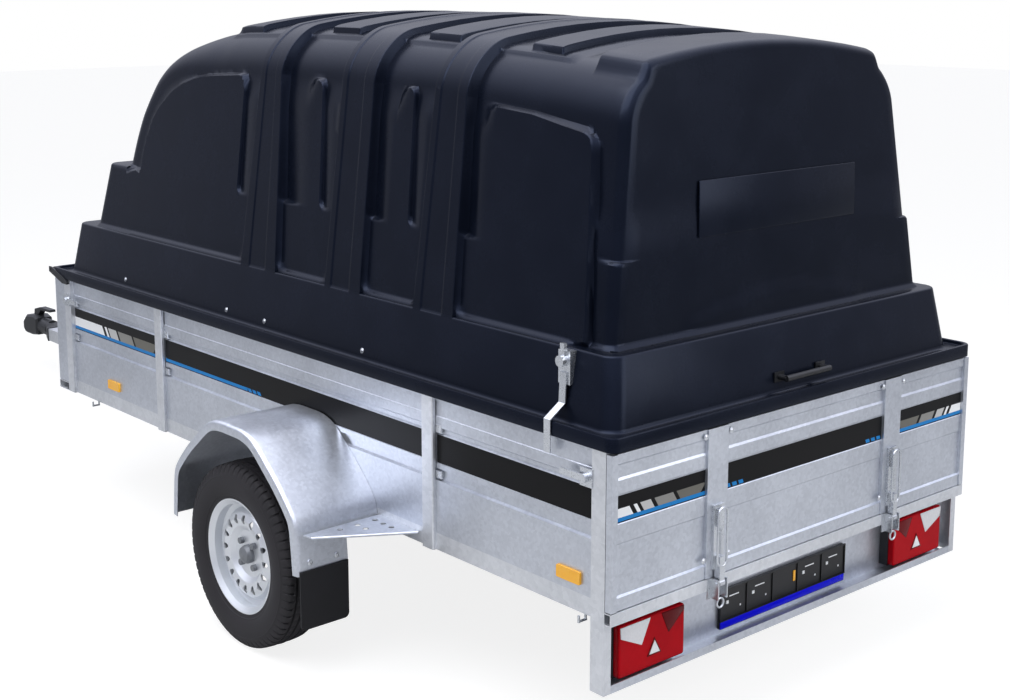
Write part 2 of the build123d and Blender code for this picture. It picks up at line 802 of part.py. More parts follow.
def plate_holder():
    """Number plate carrier on the panel between the lamps."""
    w = plate_width / 2
    top = frame_bottom - 60
    plate = block(panel_recess - plate_depth, panel_recess, -w, w, top - plate_height, top)
    return fillet(plate.edges().filter_by(Axis.X), 6)


def side_reflector(x):
    z = rail_top + 24
    piece = block(x, x + reflector_length, wall_face, wall_face + 7, z, z + reflector_height)
    return fillet(piece.edges().filter_by(Axis.Y), 4)


def rope_hook(x):
    """Bent wire hook under the side rail."""
    y = wall_face - 12
    z = frame_bottom
    stem = rod((x, y, z), (x, y, z - 20), 3.5)
    foot = rod((x, y - 3, z - 20), (x, y + 24, z - 20), 3.5)
    tip = rod((x, y + 24, z - 23), (x, y + 24, z - 4), 3.5)
    return stem + foot + tip


# ---------------------------------------------------------------- cover
def hood_section(level):
    """Section across the hood: sloping sides, round shoulders, crowned roof."""
    side, lean, rise = level
    foot = hood_base - 200
    top = hood_base + hood_height + rise
    eaves = top - hood_crown
    base = side + lean * (hood_base - foot)
    narrow = side - lean * (eaves - hood_base)
    x = crown_place
    sides = Polyline((x, -narrow, eaves), (x, -base, foot), (x, base, foot), (x, narrow, eaves))
    crown = ThreePointArc((x, narrow, eaves), (x, 0, top), (x, -narrow, eaves))
    outline = make_face([sides, crown])
    corners = outline.vertices().sort_by(Axis.Z)[-2:]
    return fillet(corners, hood_shoulder + rise)


def hood(level, x0, x1, z0, grow=0.0):
    """Solid hood at one level from x0 to x1, above z0; grow moves its two ends out."""
    rise = level[2]
    top = hood_base + hood_height + rise
    line = Axis((crown_place, 0, top - crown_radius), (0, 1, 0))
    swing = math.degrees(2.4 * crown_place / crown_radius)
    section = hood_section(level).rotate(line, -swing / 2)
    arched = revolve(section, axis=line, revolution_arc=swing)
    xr = hood_rear - grow
    f = hood_front + grow
    step = hood_base + nose_step_height + grow
    low = hood_base - 40
    high = top + 300
    rear = [(xr - hood_rear_slope * 40, 0, low), (xr + hood_rear_slope * (high - hood_base), 0, high)]
    roof = [(f - 1100, 0, high), (f - 1100, 0, top + 20)]
    shell = Polyline((f - nose_step, 0, step), (f - 34, 0, step), (f, 0, low), *rear, *roof)
    nose = Spline((f - 1100, 0, top + 20), (f - 620, 0, top - 62), (f - 310, 0, top - 250),
                  (f - nose_step, 0, step),
                  tangents=((1, 0, -0.08), (0.3, 0, -1)))
    side = make_face([shell, nose])
    body = Pos(0, -2 * half, 0) * extrude(side, amount=4 * half, dir=(0, 1, 0))
    return arched & body & block(x0, x1, -2 * half, 2 * half, z0, high)


def panel_outlines():
    """The side's raised panels between the pillars, in X and Z."""
    z = hood_base
    foot = z + foot_height
    strip = z + strip_height
    w = pillar_width / 2
    first, second, third = pillar_places
    panels = [[(hood_rear + 45, z), (first - w + 4, z), (first - w + 4, foot), (first - w - 70, foot),
               (first - w - 76, z + 590), (hood_rear + 160, z + 552), (hood_rear + 118, z + 516)]]
    for rear, front in ((first, second), (second, third)):
        panels.append([(rear + w - 4, z), (front - w + 4, z), (front - w + 4, foot), (front - w - 84, foot),
                       (front - w - 84, strip), (rear + w + 92, strip), (rear + w + 68, foot),
                       (rear + w - 4, foot)])
    nose = z + nose_step_height
    x = third + w
    panels.append([(x - 4, z), (hood_front + 60, z), (hood_front + 60, nose), (hood_front - 276, nose + 40),
                   (hood_front - 300, nose + 148), (hood_front - 389, z + 495), (hood_front - 567, z + 584),
                   (hood_front - 707, z + 606), (x + 150, z + 616), (x + 114, z + 580), (x + 98, foot),
                   (x - 4, foot)])
    return panels


def both_sides(outline):
    """Prism over an outline in X and Z, on the left and on the right."""
    window = side_plate(outline, 300, half)
    return window + flip(window)


def cover_shell():
    """Moulded cover: lip, skirt, hood, pillars, panels, roof pads; hollow from below."""
    lip = loft([rounded_layer(lip_rear, lip_front, lip_side, lip_bottom, 30),
                rounded_layer(lip_rear, lip_front, lip_side, lip_top, 30)], ruled=True)
    b = lip_step
    recess = loft([rounded_layer(lip_rear + b, lip_front - b, lip_side - b, ledge_top, 24),
                   rounded_layer(lip_rear + b, lip_front - b, lip_side - b, lip_top + 1, 24)], ruled=True)
    a = lip_ledge
    b = lip_ledge + skirt_taper
    skirt = loft([rounded_layer(lip_rear + a, lip_front - a, lip_side - a, ledge_top - 1, 50),
                  rounded_layer(lip_rear + b, lip_front - b, lip_side - b, skirt_top, 46)], ruled=True)
    body = lip - recess + skirt
    body = fillet(body.edges().group_by(Axis.Z)[-1], skirt_round)
    front = hood_front + 200
    rear = hood_rear - 200
    top = hood(hood_level, rear, front, hood_base)
    rear_face = top.faces().filter_by(GeomType.PLANE).sort_by(Axis.X)[0]
    top = fillet([e for e in rear_face.edges() if e.center().Z > hood_base + 5], hood_corner)
    panels = hood(panel_level, rear, front, hood_base)
    for outline in panel_outlines():
        top += panels & both_sides(outline)
    column = hood(column_level, hood_rear + hood_corner, hood_rear + 80, hood_base)
    top += column & both_sides([(rear, hood_base), (hood_rear + 80, hood_base),
                                (hood_rear + 80, hood_base + foot_height - 10),
                                (rear, hood_base + foot_height - 10)])
    for x in pillar_places:
        top += hood(pillar_level, x - pillar_width / 2, x + pillar_width / 2, hood_base - skirt_round)
    for x in pad_places:
        pad = hood(pad_level, x - pad_width / 2, x + pad_width / 2, hood_base + 600)
        top += pad & block(0, box_length, -pad_half, pad_half, 0, 3000)
    tail_pad = hood(pad_level, rear, hood_rear + 265, hood_base + 600)
    top += tail_pad & block(0, box_length, -pad_half - 20, pad_half + 20, 0, 3000)
    badge = cross_plate([(-360, hood_base + 255), (310, hood_base + 255), (330, hood_base + 405),
                         (-320, hood_base + 405)],
                        rear, hood_rear + 200)
    top += badge & hood(hood_level, rear, front, hood_base, badge_stand)
    body += top
    t = cover_wall
    inner = loft([rounded_layer(lip_rear + a + t, lip_front - a - t, lip_side - a - t, lip_bottom - 1, 44),
                  rounded_layer(lip_rear + b + t, lip_front - b - t, lip_side - b - t, skirt_top - t, 40)],
                  ruled=True)
    side, lean, rise = hood_level
    hollow = hood((side - t, lean, rise - t), rear, front, hood_base - 2 * t, -t)
    return body - inner - hollow


handle_z = ledge_top + 44.0


def cover_handle():
    """Bar handle across the rear of the skirt."""
    x = lip_rear + lip_ledge + skirt_taper * (handle_z - ledge_top) / (skirt_top - ledge_top) - 0.3
    bar = rod((x - 34, -96, handle_z), (x - 34, 96, handle_z), 9)
    for y in (-90, 90):
        bar += rod((x - 34, y, handle_z), (x - 4, y, handle_z), 8)
        bar += block(x - 6, x - 2.5, y - 20, y + 20, handle_z - 14, handle_z + 14)
    return bar


latch_x = 205.0


def skirt_face(z):
    """Distance of the skirt's side face from the middle line."""
    return lip_side - lip_ledge - skirt_taper * (z - ledge_top) / (skirt_top - ledge_top)



def cover_latch():
    """Over-centre catch on the skirt with a strap that reaches below the lip."""
    y = lip_side - lip_ledge - skirt_taper * 0.62
    z = skirt_top - 30
    foot = (skirt_face(z - 62) + fit_gap, z - 62)
    head = (skirt_face(z + 26) + fit_gap, z + 26)
    base = cross_plate([foot, head, (y + 12, z + 26), (y + 12, z - 62)], latch_x - 22, latch_x + 22)
    drum = rod((latch_x, y + 10, z), (latch_x, y + 30, z), 15)
    lever = block(latch_x - 8, latch_x + 8, y + 10, y + 20, z, z + 46)
    out = lip_side + 2
    route = [(y + 12, z - 30), (y + 16, z - 30), (y + 20, z - 110), (out + 3, lip_top + 4),
             (out + 3, lip_bottom - 46), (out, lip_bottom - 46),
             (out, lip_top + 2), (y + 16, z - 108), (y + 12, z - 40)]
    strap = cross_plate(route, latch_x - 12, latch_x + 12)
    return base + drum + lever + strap


hinge_line_x = lip_front + 12.0
hinge_line_z = lip_bottom + 26.0
cover_pin = 4.0
leaf_inner = lip_side - 42.0
leaf_outer = lip_side - 11.0
bracket_inner = lip_side + 0.6
bracket_depth = 16.0


def cover_leaf():
    """Moving hinge leaf on the front face of the lip."""
    leaf = block(lip_front, lip_front + 4, leaf_inner - 50, leaf_inner + 8, hinge_line_z - 12, lip_top - 4)
    arm = block(lip_front, hinge_line_x, leaf_inner, leaf_inner + 8, hinge_line_z - 8, hinge_line_z + 8)
    eye = rod((hinge_line_x, leaf_inner, hinge_line_z), (hinge_line_x, leaf_outer, hinge_line_z), 8)
    bore = rod((hinge_line_x, leaf_inner - 1, hinge_line_z), (hinge_line_x, leaf_outer + 1, hinge_line_z),
               cover_pin + running_fit)
    return leaf + arm + eye - bore


def cover_bracket():
    """Fixed hinge plate, from the front corner post forwards past the gate."""
    x0 = front_post_front - post_width + 5
    plate = side_plate([
        (x0, wall_top - bracket_depth), (front_post_front - 4, wall_top - bracket_depth),
        (hinge_line_x + 10, hinge_line_z - 10),
        (hinge_line_x + 10, hinge_line_z + 10), (hinge_line_x - 14, hinge_line_z + 10), (x0, wall_top - 4),
    ], bracket_inner, bracket_inner + 5)
    spacer = block(x0, front_post_front - 6, half, bracket_inner + 1, wall_top - bracket_depth + 1,
                   wall_top - 5)
    pin = rod((hinge_line_x, leaf_inner - 6, hinge_line_z), (hinge_line_x, bracket_inner + 7, hinge_line_z),
              cover_pin)
    return plate + spacer + pin


# ---------------------------------------------------------------- the set of pieces
def whole_set():
    """Every piece by its node's name."""
    rear_hinges = [s * upright_centre for s in (1, -1)]
    front_hinges = [s * upright_centre for s in (1, -1)]
    left_wall = side_wall()
    left_guard = mudguard()
    left_lamp = lamp()
    wheel = {"tyre": tyre(), "rim": rim(), "hub": hub()}
    reflectors = [side_reflector(x) for x in reflector_places]
    hooks = [rope_hook(x) for x in hook_places]
    corner = [rear_post(), front_post()]
    latches = [corner_latch(post_width - 4, -1), corner_latch(front_post_front - 4, 1)]
    posts = [side_post(x) for x in side_post_places]
    pieces = {
        "side_rails": pair(side_rail()),
        "crossmembers": Compound([crossmember(x) for x in member_places]),
        "rear_crossbeam": rear_beam(),
        "front_crossbeam": front_beam(),
        "axle_bearers": pair(bearer()),
        "floor_board": floor_board(),
        "axle_beam": axle_beam(),
        "swing_arms": pair(swing_arm()),
        "drawbar_arms": pair(drawbar_arm()),
        "coupling_mount": coupling_mount(),
        "coupling_head": coupling_head(),
        "coupling_lever": coupling_lever(),
        "jockey_clamp": jockey_clamp(),
        "jockey_outer_tube": jockey_outer_tube(),
        "jockey_crank": jockey_crank(),
        "jockey_inner_tube": jockey_inner_tube(),
        "jockey_fork": jockey_fork(),
        "jockey_tyre": jockey_tyre(),
        "jockey_hub": jockey_hub(),
        "side_wall_left": left_wall,
        "side_wall_right": flip(left_wall),
        "corner_posts": Compound(corner + [flip(p) for p in corner]),
        "side_posts": Compound(posts + [flip(p) for p in posts]),
        "corner_latches": Compound(latches + [flip(p) for p in latches]),
        "tailgate": tailgate(),
        "tailgate_straps": Compound([hinge_strap(y) for y in rear_hinges]),
        "tailgate_brackets": Compound([hinge_bracket(y) for y in rear_hinges]),
        "front_gate": front_gate(),
        "front_gate_straps": Compound([gate_strap(y) for y in front_hinges]),
        "front_gate_brackets": Compound([gate_bracket(y) for y in front_hinges]),
        "light_panel": light_panel(),
        "lamp_left": left_lamp,
        "lamp_right": flip(left_lamp),
        "plate_holder": plate_holder(),
        "side_reflectors": Compound(reflectors + [flip(p) for p in reflectors]),
        "rope_hooks": Compound(hooks + [flip(p) for p in hooks]),
        "mudguard_left": left_guard,
        "mudguard_right": flip(left_guard),
        "step_plates": pair(step_plate()),
        "mud_flaps": pair(mud_flap()),
        "cover_shell": cover_shell(),
        "cover_handle": cover_handle(),
        "cover_latches": pair(cover_latch()),
        "cover_hinge_leaves": pair(cover_leaf()),
        "cover_hinge_brackets": pair(cover_bracket()),
    }
    for name, shape in wheel.items():
        pieces[name + "_left"] = shape
        pieces[name + "_right"] = flip(shape)
    return pieces


PIECES = whole_set()
rearmost = min(shape.bounding_box().min.X for shape in PIECES.values())
origin_x = (rearmost + coupling_nose) / 2
os.makedirs("parts", exist_ok=True)
for node, shape in PIECES.items():
    export_step(Pos(-origin_x, 0, 0) * shape, "parts/" + node + ".step")
print("origin lies", round(origin_x, 3), "mm ahead of the rear posts")
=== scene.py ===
# %% [markdown]
# # A covered utility trailer
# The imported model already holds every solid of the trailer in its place. This lesson
# dresses it: each steel sheet, casting and moulding gets a finish, and the pieces that
# need more shape than a plain solid, such as the moulded cover, the tyres and the lamps,
# are modelled again over it. Everything is in metres.

# %% Load the frame
import math
import bpy
import numpy as np
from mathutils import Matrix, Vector


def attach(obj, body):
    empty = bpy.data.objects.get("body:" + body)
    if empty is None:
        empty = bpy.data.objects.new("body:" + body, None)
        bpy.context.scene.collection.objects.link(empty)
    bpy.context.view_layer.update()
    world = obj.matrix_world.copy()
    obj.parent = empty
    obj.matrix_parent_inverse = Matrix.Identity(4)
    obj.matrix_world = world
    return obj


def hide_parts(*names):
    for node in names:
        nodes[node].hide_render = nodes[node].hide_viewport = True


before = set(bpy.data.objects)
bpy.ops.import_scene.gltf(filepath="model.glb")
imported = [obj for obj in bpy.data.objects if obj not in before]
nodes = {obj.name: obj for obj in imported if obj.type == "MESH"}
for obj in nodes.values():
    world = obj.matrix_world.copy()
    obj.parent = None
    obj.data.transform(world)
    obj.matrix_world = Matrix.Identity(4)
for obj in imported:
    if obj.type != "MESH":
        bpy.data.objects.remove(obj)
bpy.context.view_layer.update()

# %% [markdown]
# The camera stands behind the trailer and to its left, a little above the tailgate, so
# that the side, the rear and the roof of the cover all show. Its small vertical shift
# keeps the whole trailer in the frame without tilting the upright edges. The Standard view
# shows each colour as it is written.

# %% Camera
half_turn = math.pi
look_down, look_round = 0.17092, 0.71625
camera_data = bpy.data.cameras.new("camera")
camera_data.lens = 54.84
camera_data.sensor_width = 36.0
camera_data.shift_y = -0.099
camera = bpy.data.objects.new("camera", camera_data)
bpy.context.scene.collection.objects.link(camera)
camera.location = (-5.1177, 3.3573, 2.0151)
camera.rotation_euler = (half_turn / 2 - look_down, 0.0, -look_round - half_turn / 2)
bpy.context.scene.camera = camera
bpy.context.scene.view_settings.view_transform = "Standard"
print("camera", round(camera.location.length, 2), "m from the middle of the trailer")

# %% [markdown]
# A finish is a small tree of shader nodes. Built by hand, each node takes several clicks:
# add it, set its values, link its sockets. One function does all of that in a line, so a
# tree reads from its source to the shader, and another turns a colour as it is written on a
# colour card into the linear numbers that Blender computes with.

# %% Small helpers for finishes


def linear(hex_colour):
    """An sRGB colour written in hex, as linear RGBA."""
    parts = [int(hex_colour[i:i + 2], 16) / 255 for i in (1, 3, 5)]
    return tuple(c / 12.92 if c <= 0.04045 else ((c + 0.055) / 1.055) ** 2.4 for c in parts) + (1.0,)


def node(tree, kind, inputs=None, **settings):
    """Adds a shader node: settings are its own properties, inputs its sockets' values or links."""
    made = tree.nodes.new("ShaderNode" + kind)
    for name, value in settings.items():
        setattr(made, name, value)
    for name, value in (inputs or {}).items():
        if isinstance(value, bpy.types.NodeSocket):
            tree.links.new(value, made.inputs[name])
        else:
            made.inputs[name].default_value = value
    return made


def finish_of(name, **sockets):
    """A new material with its node tree and main shader; sockets set the shader's values."""
    material = bpy.data.materials.new(name)
    material.use_nodes = True
    shader = material.node_tree.nodes["Principled BSDF"]
    for label, value in sockets.items():
        shader.inputs[label.replace("_", " ")].default_value = value
    return material, material.node_tree, shader


# %% [markdown]
# The trailer stands in a plain studio. The world has three jobs: it is white where the
# camera sees it, an even cool grey where it only lights, and a soft sky, brighter overhead,
# where steel and plastic mirror it. Light paths tell the three apart.

# %% World of the studio
world = bpy.data.worlds.new("studio")
bpy.context.scene.world = world
world.use_nodes = True
tree = world.node_tree
tree.nodes.clear()
white = (1.0, 1.0, 1.0, 1.0)
near_horizon, near_zenith, dim_sky, bright_sky = 0.15, 0.95, 0.6, 3.2
ray = node(tree, "LightPath")
shiny = node(tree, "Math", {0: ray.outputs["Is Glossy Ray"], 1: ray.outputs["Is Transmission Ray"]},
             operation="MAXIMUM")
seen = node(tree, "Math", {0: ray.outputs["Is Camera Ray"], 1: shiny.outputs[0]}, operation="MAXIMUM")
ambient = node(tree, "Background", {"Color": linear("#dfe4ee"), "Strength": 0.42})
backdrop = node(tree, "Background", {"Color": white, "Strength": 1.0})
way_up = node(tree, "SeparateXYZ", {0: node(tree, "TexCoord").outputs["Generated"]})
overhead = node(tree, "MapRange", {0: way_up.outputs["Z"], 1: near_horizon, 2: near_zenith, 3: dim_sky,
                                   4: bright_sky}, interpolation_type="SMOOTHSTEP")
sky = node(tree, "Background", {"Color": linear("#e3e6f6"), "Strength": overhead.outputs[0]})
shown = node(tree, "MixShader", {0: shiny.outputs[0], 1: backdrop.outputs[0], 2: sky.outputs[0]})
both = node(tree, "MixShader", {0: seen.outputs[0], 1: ambient.outputs[0], 2: shown.outputs[0]})
node(tree, "OutputWorld", {"Surface": both.outputs[0]})
print("world of", len(tree.nodes), "nodes")

# %% [markdown]
# Two large area lamps shape the steel and the cover from above and from behind. A large
# lamp close by gives soft edges to every shadow, as a softbox does.

# %% Soft lamps


def soft_lamp(name, size, place, aim, power):
    """A large soft lamp at place that looks at aim."""
    data = bpy.data.lights.new(name, "AREA")
    data.shape = "RECTANGLE"
    data.size, data.size_y = size
    data.energy = power
    lamp = bpy.data.objects.new(name, data)
    bpy.context.scene.collection.objects.link(lamp)
    lamp.location = place
    lamp.rotation_euler = (Vector(aim) - Vector(place)).to_track_quat("-Z", "Y").to_euler()
    return lamp


key_power, rear_power = 260, 90
soft_lamp("key_lamp", (5.0, 5.0), (-1.5, 2.5, 5.5), (0.0, 0.0, 0.8), key_power)
soft_lamp("rear_lamp", (3.0, 3.0), (-6.5, -1.5, 3.0), (-2.0, 0.0, 0.9), rear_power)
print("lamps of", key_power, "and", rear_power, "W")

# %% [markdown]
# The floor is one large pale sheet that carries the soft shadow. Part of what the camera
# sees of it is glow, so that it runs into the white backdrop without a line, while the
# shadow under the trailer still shows.

# %% Floor
floor_size, glow_strength, glow_share = 60, 1.35, 0.62
bpy.ops.mesh.primitive_plane_add(size=floor_size, location=(0, 0, 0))
floor = bpy.context.object
floor.name = "studio_floor"
floor_paint, tree, shader = finish_of("studio_floor_paint", Roughness=0.9, Specular_IOR_Level=0.1)
shader.inputs["Base Color"].default_value = (0.86, 0.86, 0.87, 1.0)
ray = node(tree, "LightPath")
glow = node(tree, "Emission", {"Color": white, "Strength": glow_strength})
share = node(tree, "Math", {0: ray.outputs["Is Camera Ray"], 1: glow_share}, operation="MULTIPLY")
blend = node(tree, "MixShader", {0: share.outputs[0], 1: shader.outputs[0], 2: glow.outputs[0]})
tree.links.new(blend.outputs[0], tree.nodes["Material Output"].inputs["Surface"])
floor.data.materials.append(floor_paint)
print("floor", floor_size, "m square")

# %% [markdown]
# Most of the trailer is steel dipped in zinc. The zinc freezes into flat crystals, the
# spangle, and each crystal mirrors the light at its own angle. It could be painted on by
# hand, but a cell pattern does it everywhere at once: every cell gets one tone, a slow
# cloud makes some patches duller, and the tone also drives the roughness and a low relief.

# %% Galvanised steel


def object_place(tree):
    """The place on the object, in metres."""
    return node(tree, "TexCoord").outputs["Object"]


def two_tone(tree, tone, start, end, dark, light):
    """A colour that runs from dark to light while tone runs from start to end."""
    mix = node(tree, "ValToRGB", {0: tone})
    first, second = mix.color_ramp.elements
    first.position, first.color = start, linear(dark)
    second.position, second.color = end, linear(light)
    return mix.outputs[0]


def galvanised(name, light, dark, spangle, roughness):
    """Zinc-coated steel: flat crystals of the given size, each a little lighter or darker."""
    material, tree, shader = finish_of(name, Metallic=0.85, Roughness=roughness)
    place = object_place(tree)
    patches_a_metre, flecks_a_metre = 3.5, 90.0
    crystal_share, fleck_share = 0.22, 0.25
    crystals = node(tree, "TexVoronoi", {"Vector": place, "Scale": 1 / spangle, "Randomness": 1.0})
    grey = node(tree, "SeparateColor", {0: crystals.outputs["Color"]})
    cloud = node(tree, "TexNoise", {"Vector": place, "Scale": patches_a_metre, "Detail": 4.0,
                                    "Roughness": 0.55})
    fine = node(tree, "TexNoise", {"Vector": place, "Scale": flecks_a_metre, "Detail": 3.0})
    tone = node(tree, "Math", {0: grey.outputs[0], 1: crystal_share, 2: cloud.outputs[0]},
                operation="MULTIPLY_ADD")
    tone = node(tree, "Math", {0: fine.outputs[0], 1: fleck_share, 2: tone.outputs[0]},
                operation="MULTIPLY_ADD")
    tree.links.new(two_tone(tree, tone.outputs[0], 0.35, 1.0, dark, light), shader.inputs["Base Color"])
    rough = node(tree, "MapRange", {0: tone.outputs[0], 1: 0.3, 2: 1.1, 3: roughness - 0.07,
                                    4: roughness + 0.1})
    tree.links.new(rough.outputs[0], shader.inputs["Roughness"])
    bump = node(tree, "Bump", {"Height": tone.outputs[0], "Strength": 0.12, "Distance": 0.002})
    tree.links.new(bump.outputs[0], shader.inputs["Normal"])
    return material


# Thin rolled sheet: small spangle, and smooth enough to show soft reflections.
sheet_zinc = galvanised("galvanised_sheet", "#cfd3da", "#aeb2ba", 0.009, 0.36)
# Posts and beams dipped after welding: a thicker, paler and duller coat with larger spangle.
frame_zinc = galvanised("hot_dip_galvanised_frame", "#e0e2e5", "#bfc2c6", 0.014, 0.42)
# Electroplated small hardware: an even bright coat that catches sharp highlights.
bright_zinc = galvanised("bright_zinc_plate", "#d3d6da", "#b4b8bd", 0.003, 0.26)
print("three zinc coats")

# %% [markdown]
# Plastic, rubber and paint differ less in colour than in how they shine. One recipe covers
# them: a base colour that drifts slightly, a roughness that drifts with it, and a grain of
# the size that the mould, the casting sand or the spray gun leaves, in metres. Real grain
# is a tenth of a millimetre up to a millimetre. That is too fine to show on a trailer seen
# whole, so it is drawn 1.5 to 10 millimetres wide, with very little depth.

# %% Moulded and painted surfaces


def speckled(name, colour, worn, roughness, grain, bump_depth, **sockets):
    """A moulded or painted surface: one colour that drifts slightly, with a fine grain."""
    material, tree, shader = finish_of(name, Roughness=roughness, **sockets)
    place = object_place(tree)
    drifts_a_metre, grain_share = 6.0, 0.3
    cloud = node(tree, "TexNoise", {"Vector": place, "Scale": drifts_a_metre, "Detail": 4.0})
    grains = node(tree, "TexNoise", {"Vector": place, "Scale": 1 / grain, "Detail": 2.0})
    tone = node(tree, "Math", {0: grains.outputs[0], 1: grain_share, 2: cloud.outputs[0]},
                operation="MULTIPLY_ADD")
    tree.links.new(two_tone(tree, tone.outputs[0], 0.4, 1.0, colour, worn), shader.inputs["Base Color"])
    rough = node(tree, "MapRange", {0: tone.outputs[0], 1: 0.3, 2: 1.0, 3: roughness - 0.06,
                                    4: roughness + 0.08})
    tree.links.new(rough.outputs[0], shader.inputs["Roughness"])
    bump = node(tree, "Bump", {"Height": grains.outputs[0], "Strength": 0.25, "Distance": bump_depth})
    tree.links.new(bump.outputs[0], shader.inputs["Normal"])
    return material


# Black sheet plastic of the cover: deep blue-black with long soft highlights on its edges.
cover_moulding = speckled("thermoformed_black_abs", "#080c16", "#0e121d", 0.25, 0.0022, 0.0002, IOR=1.5,
                          Specular_IOR_Level=0.19, Specular_Tint=linear("#c3d4ff"))
# Tyre rubber: dull dark grey, so that only its shape shows.
tyre_rubber = speckled("tyre_rubber", "#222123", "#2f2d30", 0.72, 0.003, 0.0008, IOR=1.5,
                       Specular_IOR_Level=0.3)
# Mud flaps: flat sheet rubber, a little smoother and blacker than the tyre.
flap_rubber = speckled("black_flap_rubber", "#111114", "#1a1a1d", 0.6, 0.003, 0.0006,
                       Specular_IOR_Level=0.3)
# Wheel paint: fine metal flake, brighter where it turns to the light.
wheel_paint = speckled("silver_wheel_paint", "#d3d6da", "#e2e5e8", 0.34, 0.0015, 0.0003, Metallic=0.6)
# Painted iron of the coupling and hinges: black with the unevenness of the casting.
cast_paint = speckled("black_painted_iron", "#17181a", "#26272a", 0.45, 0.006, 0.001,
                      Specular_IOR_Level=0.4)
# Bare hub casting: mid grey metal with a film of grease.
hub_grease = speckled("grey_hub_casting", "#6f7276", "#8b8e92", 0.5, 0.004, 0.0006, Metallic=0.5)
# Lamp lens: saturated red that stays red in the light, with little haze.
lamp_plastic = speckled("red_lamp_lens", "#a00210", "#bc0616", 0.16, 0.01, 0.0002, IOR=1.49,
                        Specular_IOR_Level=0.06)
# Side reflectors: warm amber, glossy.
amber_plastic = speckled("amber_reflector", "#ffae1c", "#ffc340", 0.22, 0.01, 0.0002, IOR=1.49)
# Plate carrier: smooth black plastic, neutral beside the blue-black cover.
plate_plastic = speckled("plate_holder_plastic", "#0c0c0e", "#151517", 0.35, 0.003, 0.0004,
                         Specular_IOR_Level=0.4)
# Handle and housings: moulded black plastic with a fine matt grain.
grip_plastic = speckled("black_moulded_plastic", "#101114", "#1b1c20", 0.42, 0.002, 0.0004,
                        Specular_IOR_Level=0.4)
# Floor board: plywood under a brown resin film, with a soft sheen.
floor_film = speckled("phenolic_faced_plywood", "#3a2a1f", "#4a3627", 0.5, 0.004, 0.0008, IOR=1.5)
print("eleven moulded and painted finishes")

# %% [markdown]
# The solids come with a plain slot each, which names what they are made of. Every slot
# gets its finish; the folded sheets, which share a slot with the frame, get the sheet's
# own coat.

# %% Finishes on the solids
slot_finish = {
    "galvanised": frame_zinc, "zinc": bright_zinc, "cover_black": cover_moulding, "plywood": floor_film,
    "wheel_silver": wheel_paint, "tyre_rubber": tyre_rubber, "black_rubber": flap_rubber,
    "black_iron": cast_paint, "hub_grey": hub_grease, "lamp_red": lamp_plastic,
    "reflector_amber": amber_plastic, "plate_black": plate_plastic, "black_plastic": grip_plastic,
}
sheet_nodes = ("side_wall_left", "side_wall_right", "tailgate", "front_gate", "light_panel",
               "mudguard_left",
               "mudguard_right", "step_plates")
for name, piece in nodes.items():
    wanted = slot_finish[piece.material_slots[0].name.split(".")[0]]
    if name in sheet_nodes:
        wanted = sheet_zinc
    for place in range(len(piece.material_slots)):
        piece.material_slots[place].material = wanted
print("finishes on", len(nodes), "solids")

# %% [markdown]
# The cover is one big vacuum-formed shell: a low skirt all round, and on it a hood with a
# rounded nose, three hoops that run over the roof, panels pressed out between them and
# pads for the straps on top. A form like this is one sheet, so it is laid out as one fine
# grid whose columns run up one side, over the roof and down the other. First comes the
# smooth body, then every pressed form moves the sheet outwards along its own normal.
# Three small functions do the repeated work: a smooth line, a soft step, a round corner.

# %% Smooth lines, soft steps and corners


def smooth_line(points, count):
    """A smooth line through points, as an array of count points evenly spread along it."""
    points = np.array(points, float)
    padded = np.vstack([2 * points[0] - points[1], points, 2 * points[-1] - points[-2]])
    dense = []
    for k in range(1, len(padded) - 2):
        p0, p1, p2, p3 = padded[k - 1:k + 3]
        for t in np.linspace(0, 1, 24, endpoint=False):
            dense.append(0.5 * (2 * p1 + (p2 - p0) * t + (2 * p0 - 5 * p1 + 4 * p2 - p3) * t ** 2
                                + (3 * p1 - p0 - 3 * p2 + p3) * t ** 3))
    dense.append(padded[-2])
    dense = np.array(dense)
    along = np.concatenate([[0], np.cumsum(np.linalg.norm(np.diff(dense[:, :2], axis=0), axis=1))])
    wanted = np.linspace(0, along[-1], count)
    return np.stack([np.interp(wanted, along, dense[:, k]) for k in range(dense.shape[1])], axis=1)


def rise(distance, width):
    """0 to 1 in a soft step of that width, centred where distance is 0."""
    t = np.clip(distance / width + 0.5, 0, 1)
    return t * t * (3 - 2 * t)


def corner(u, v, radius):
    """Depth inside a quadrant with a rounded corner."""
    inside = np.minimum(u, v)
    near = (u < radius) & (v < radius)
    return np.where(near, radius - np.hypot(np.minimum(u - radius, 0), np.minimum(v - radius, 0)), inside)


# %% [markdown]
# The hood's smooth body follows from a few lines: sides that lean in as they rise, a roof
# that is crowned both ways, a leaning rear face, and the places of the hoops, slots and
# pads. Places are counted forwards from the rear of the box, which is easier to read than
# places counted from the middle of the whole trailer.

# %% Lines of the hood
hood_base, foot_line, panel_line, roof_top = 1.0985, 1.318, 1.72, 1.8985
crown, shoulder = 0.19, 0.115
roof_middle, roof_bow = 1.55, 33
rear_foot, rear_lean = 0.109, 0.063


def side_y(z, level=0.652, lean=0.13):
    """Half width of the hood at a height."""
    return level - lean * (z - hood_base)


def roof_z(x):
    """Height of the roof's ridge."""
    return roof_top - (x - roof_middle) ** 2 / roof_bow


def rear_x(z):
    """Place of the rear face, which leans forwards as it rises."""
    return rear_foot + rear_lean * (z - hood_base)


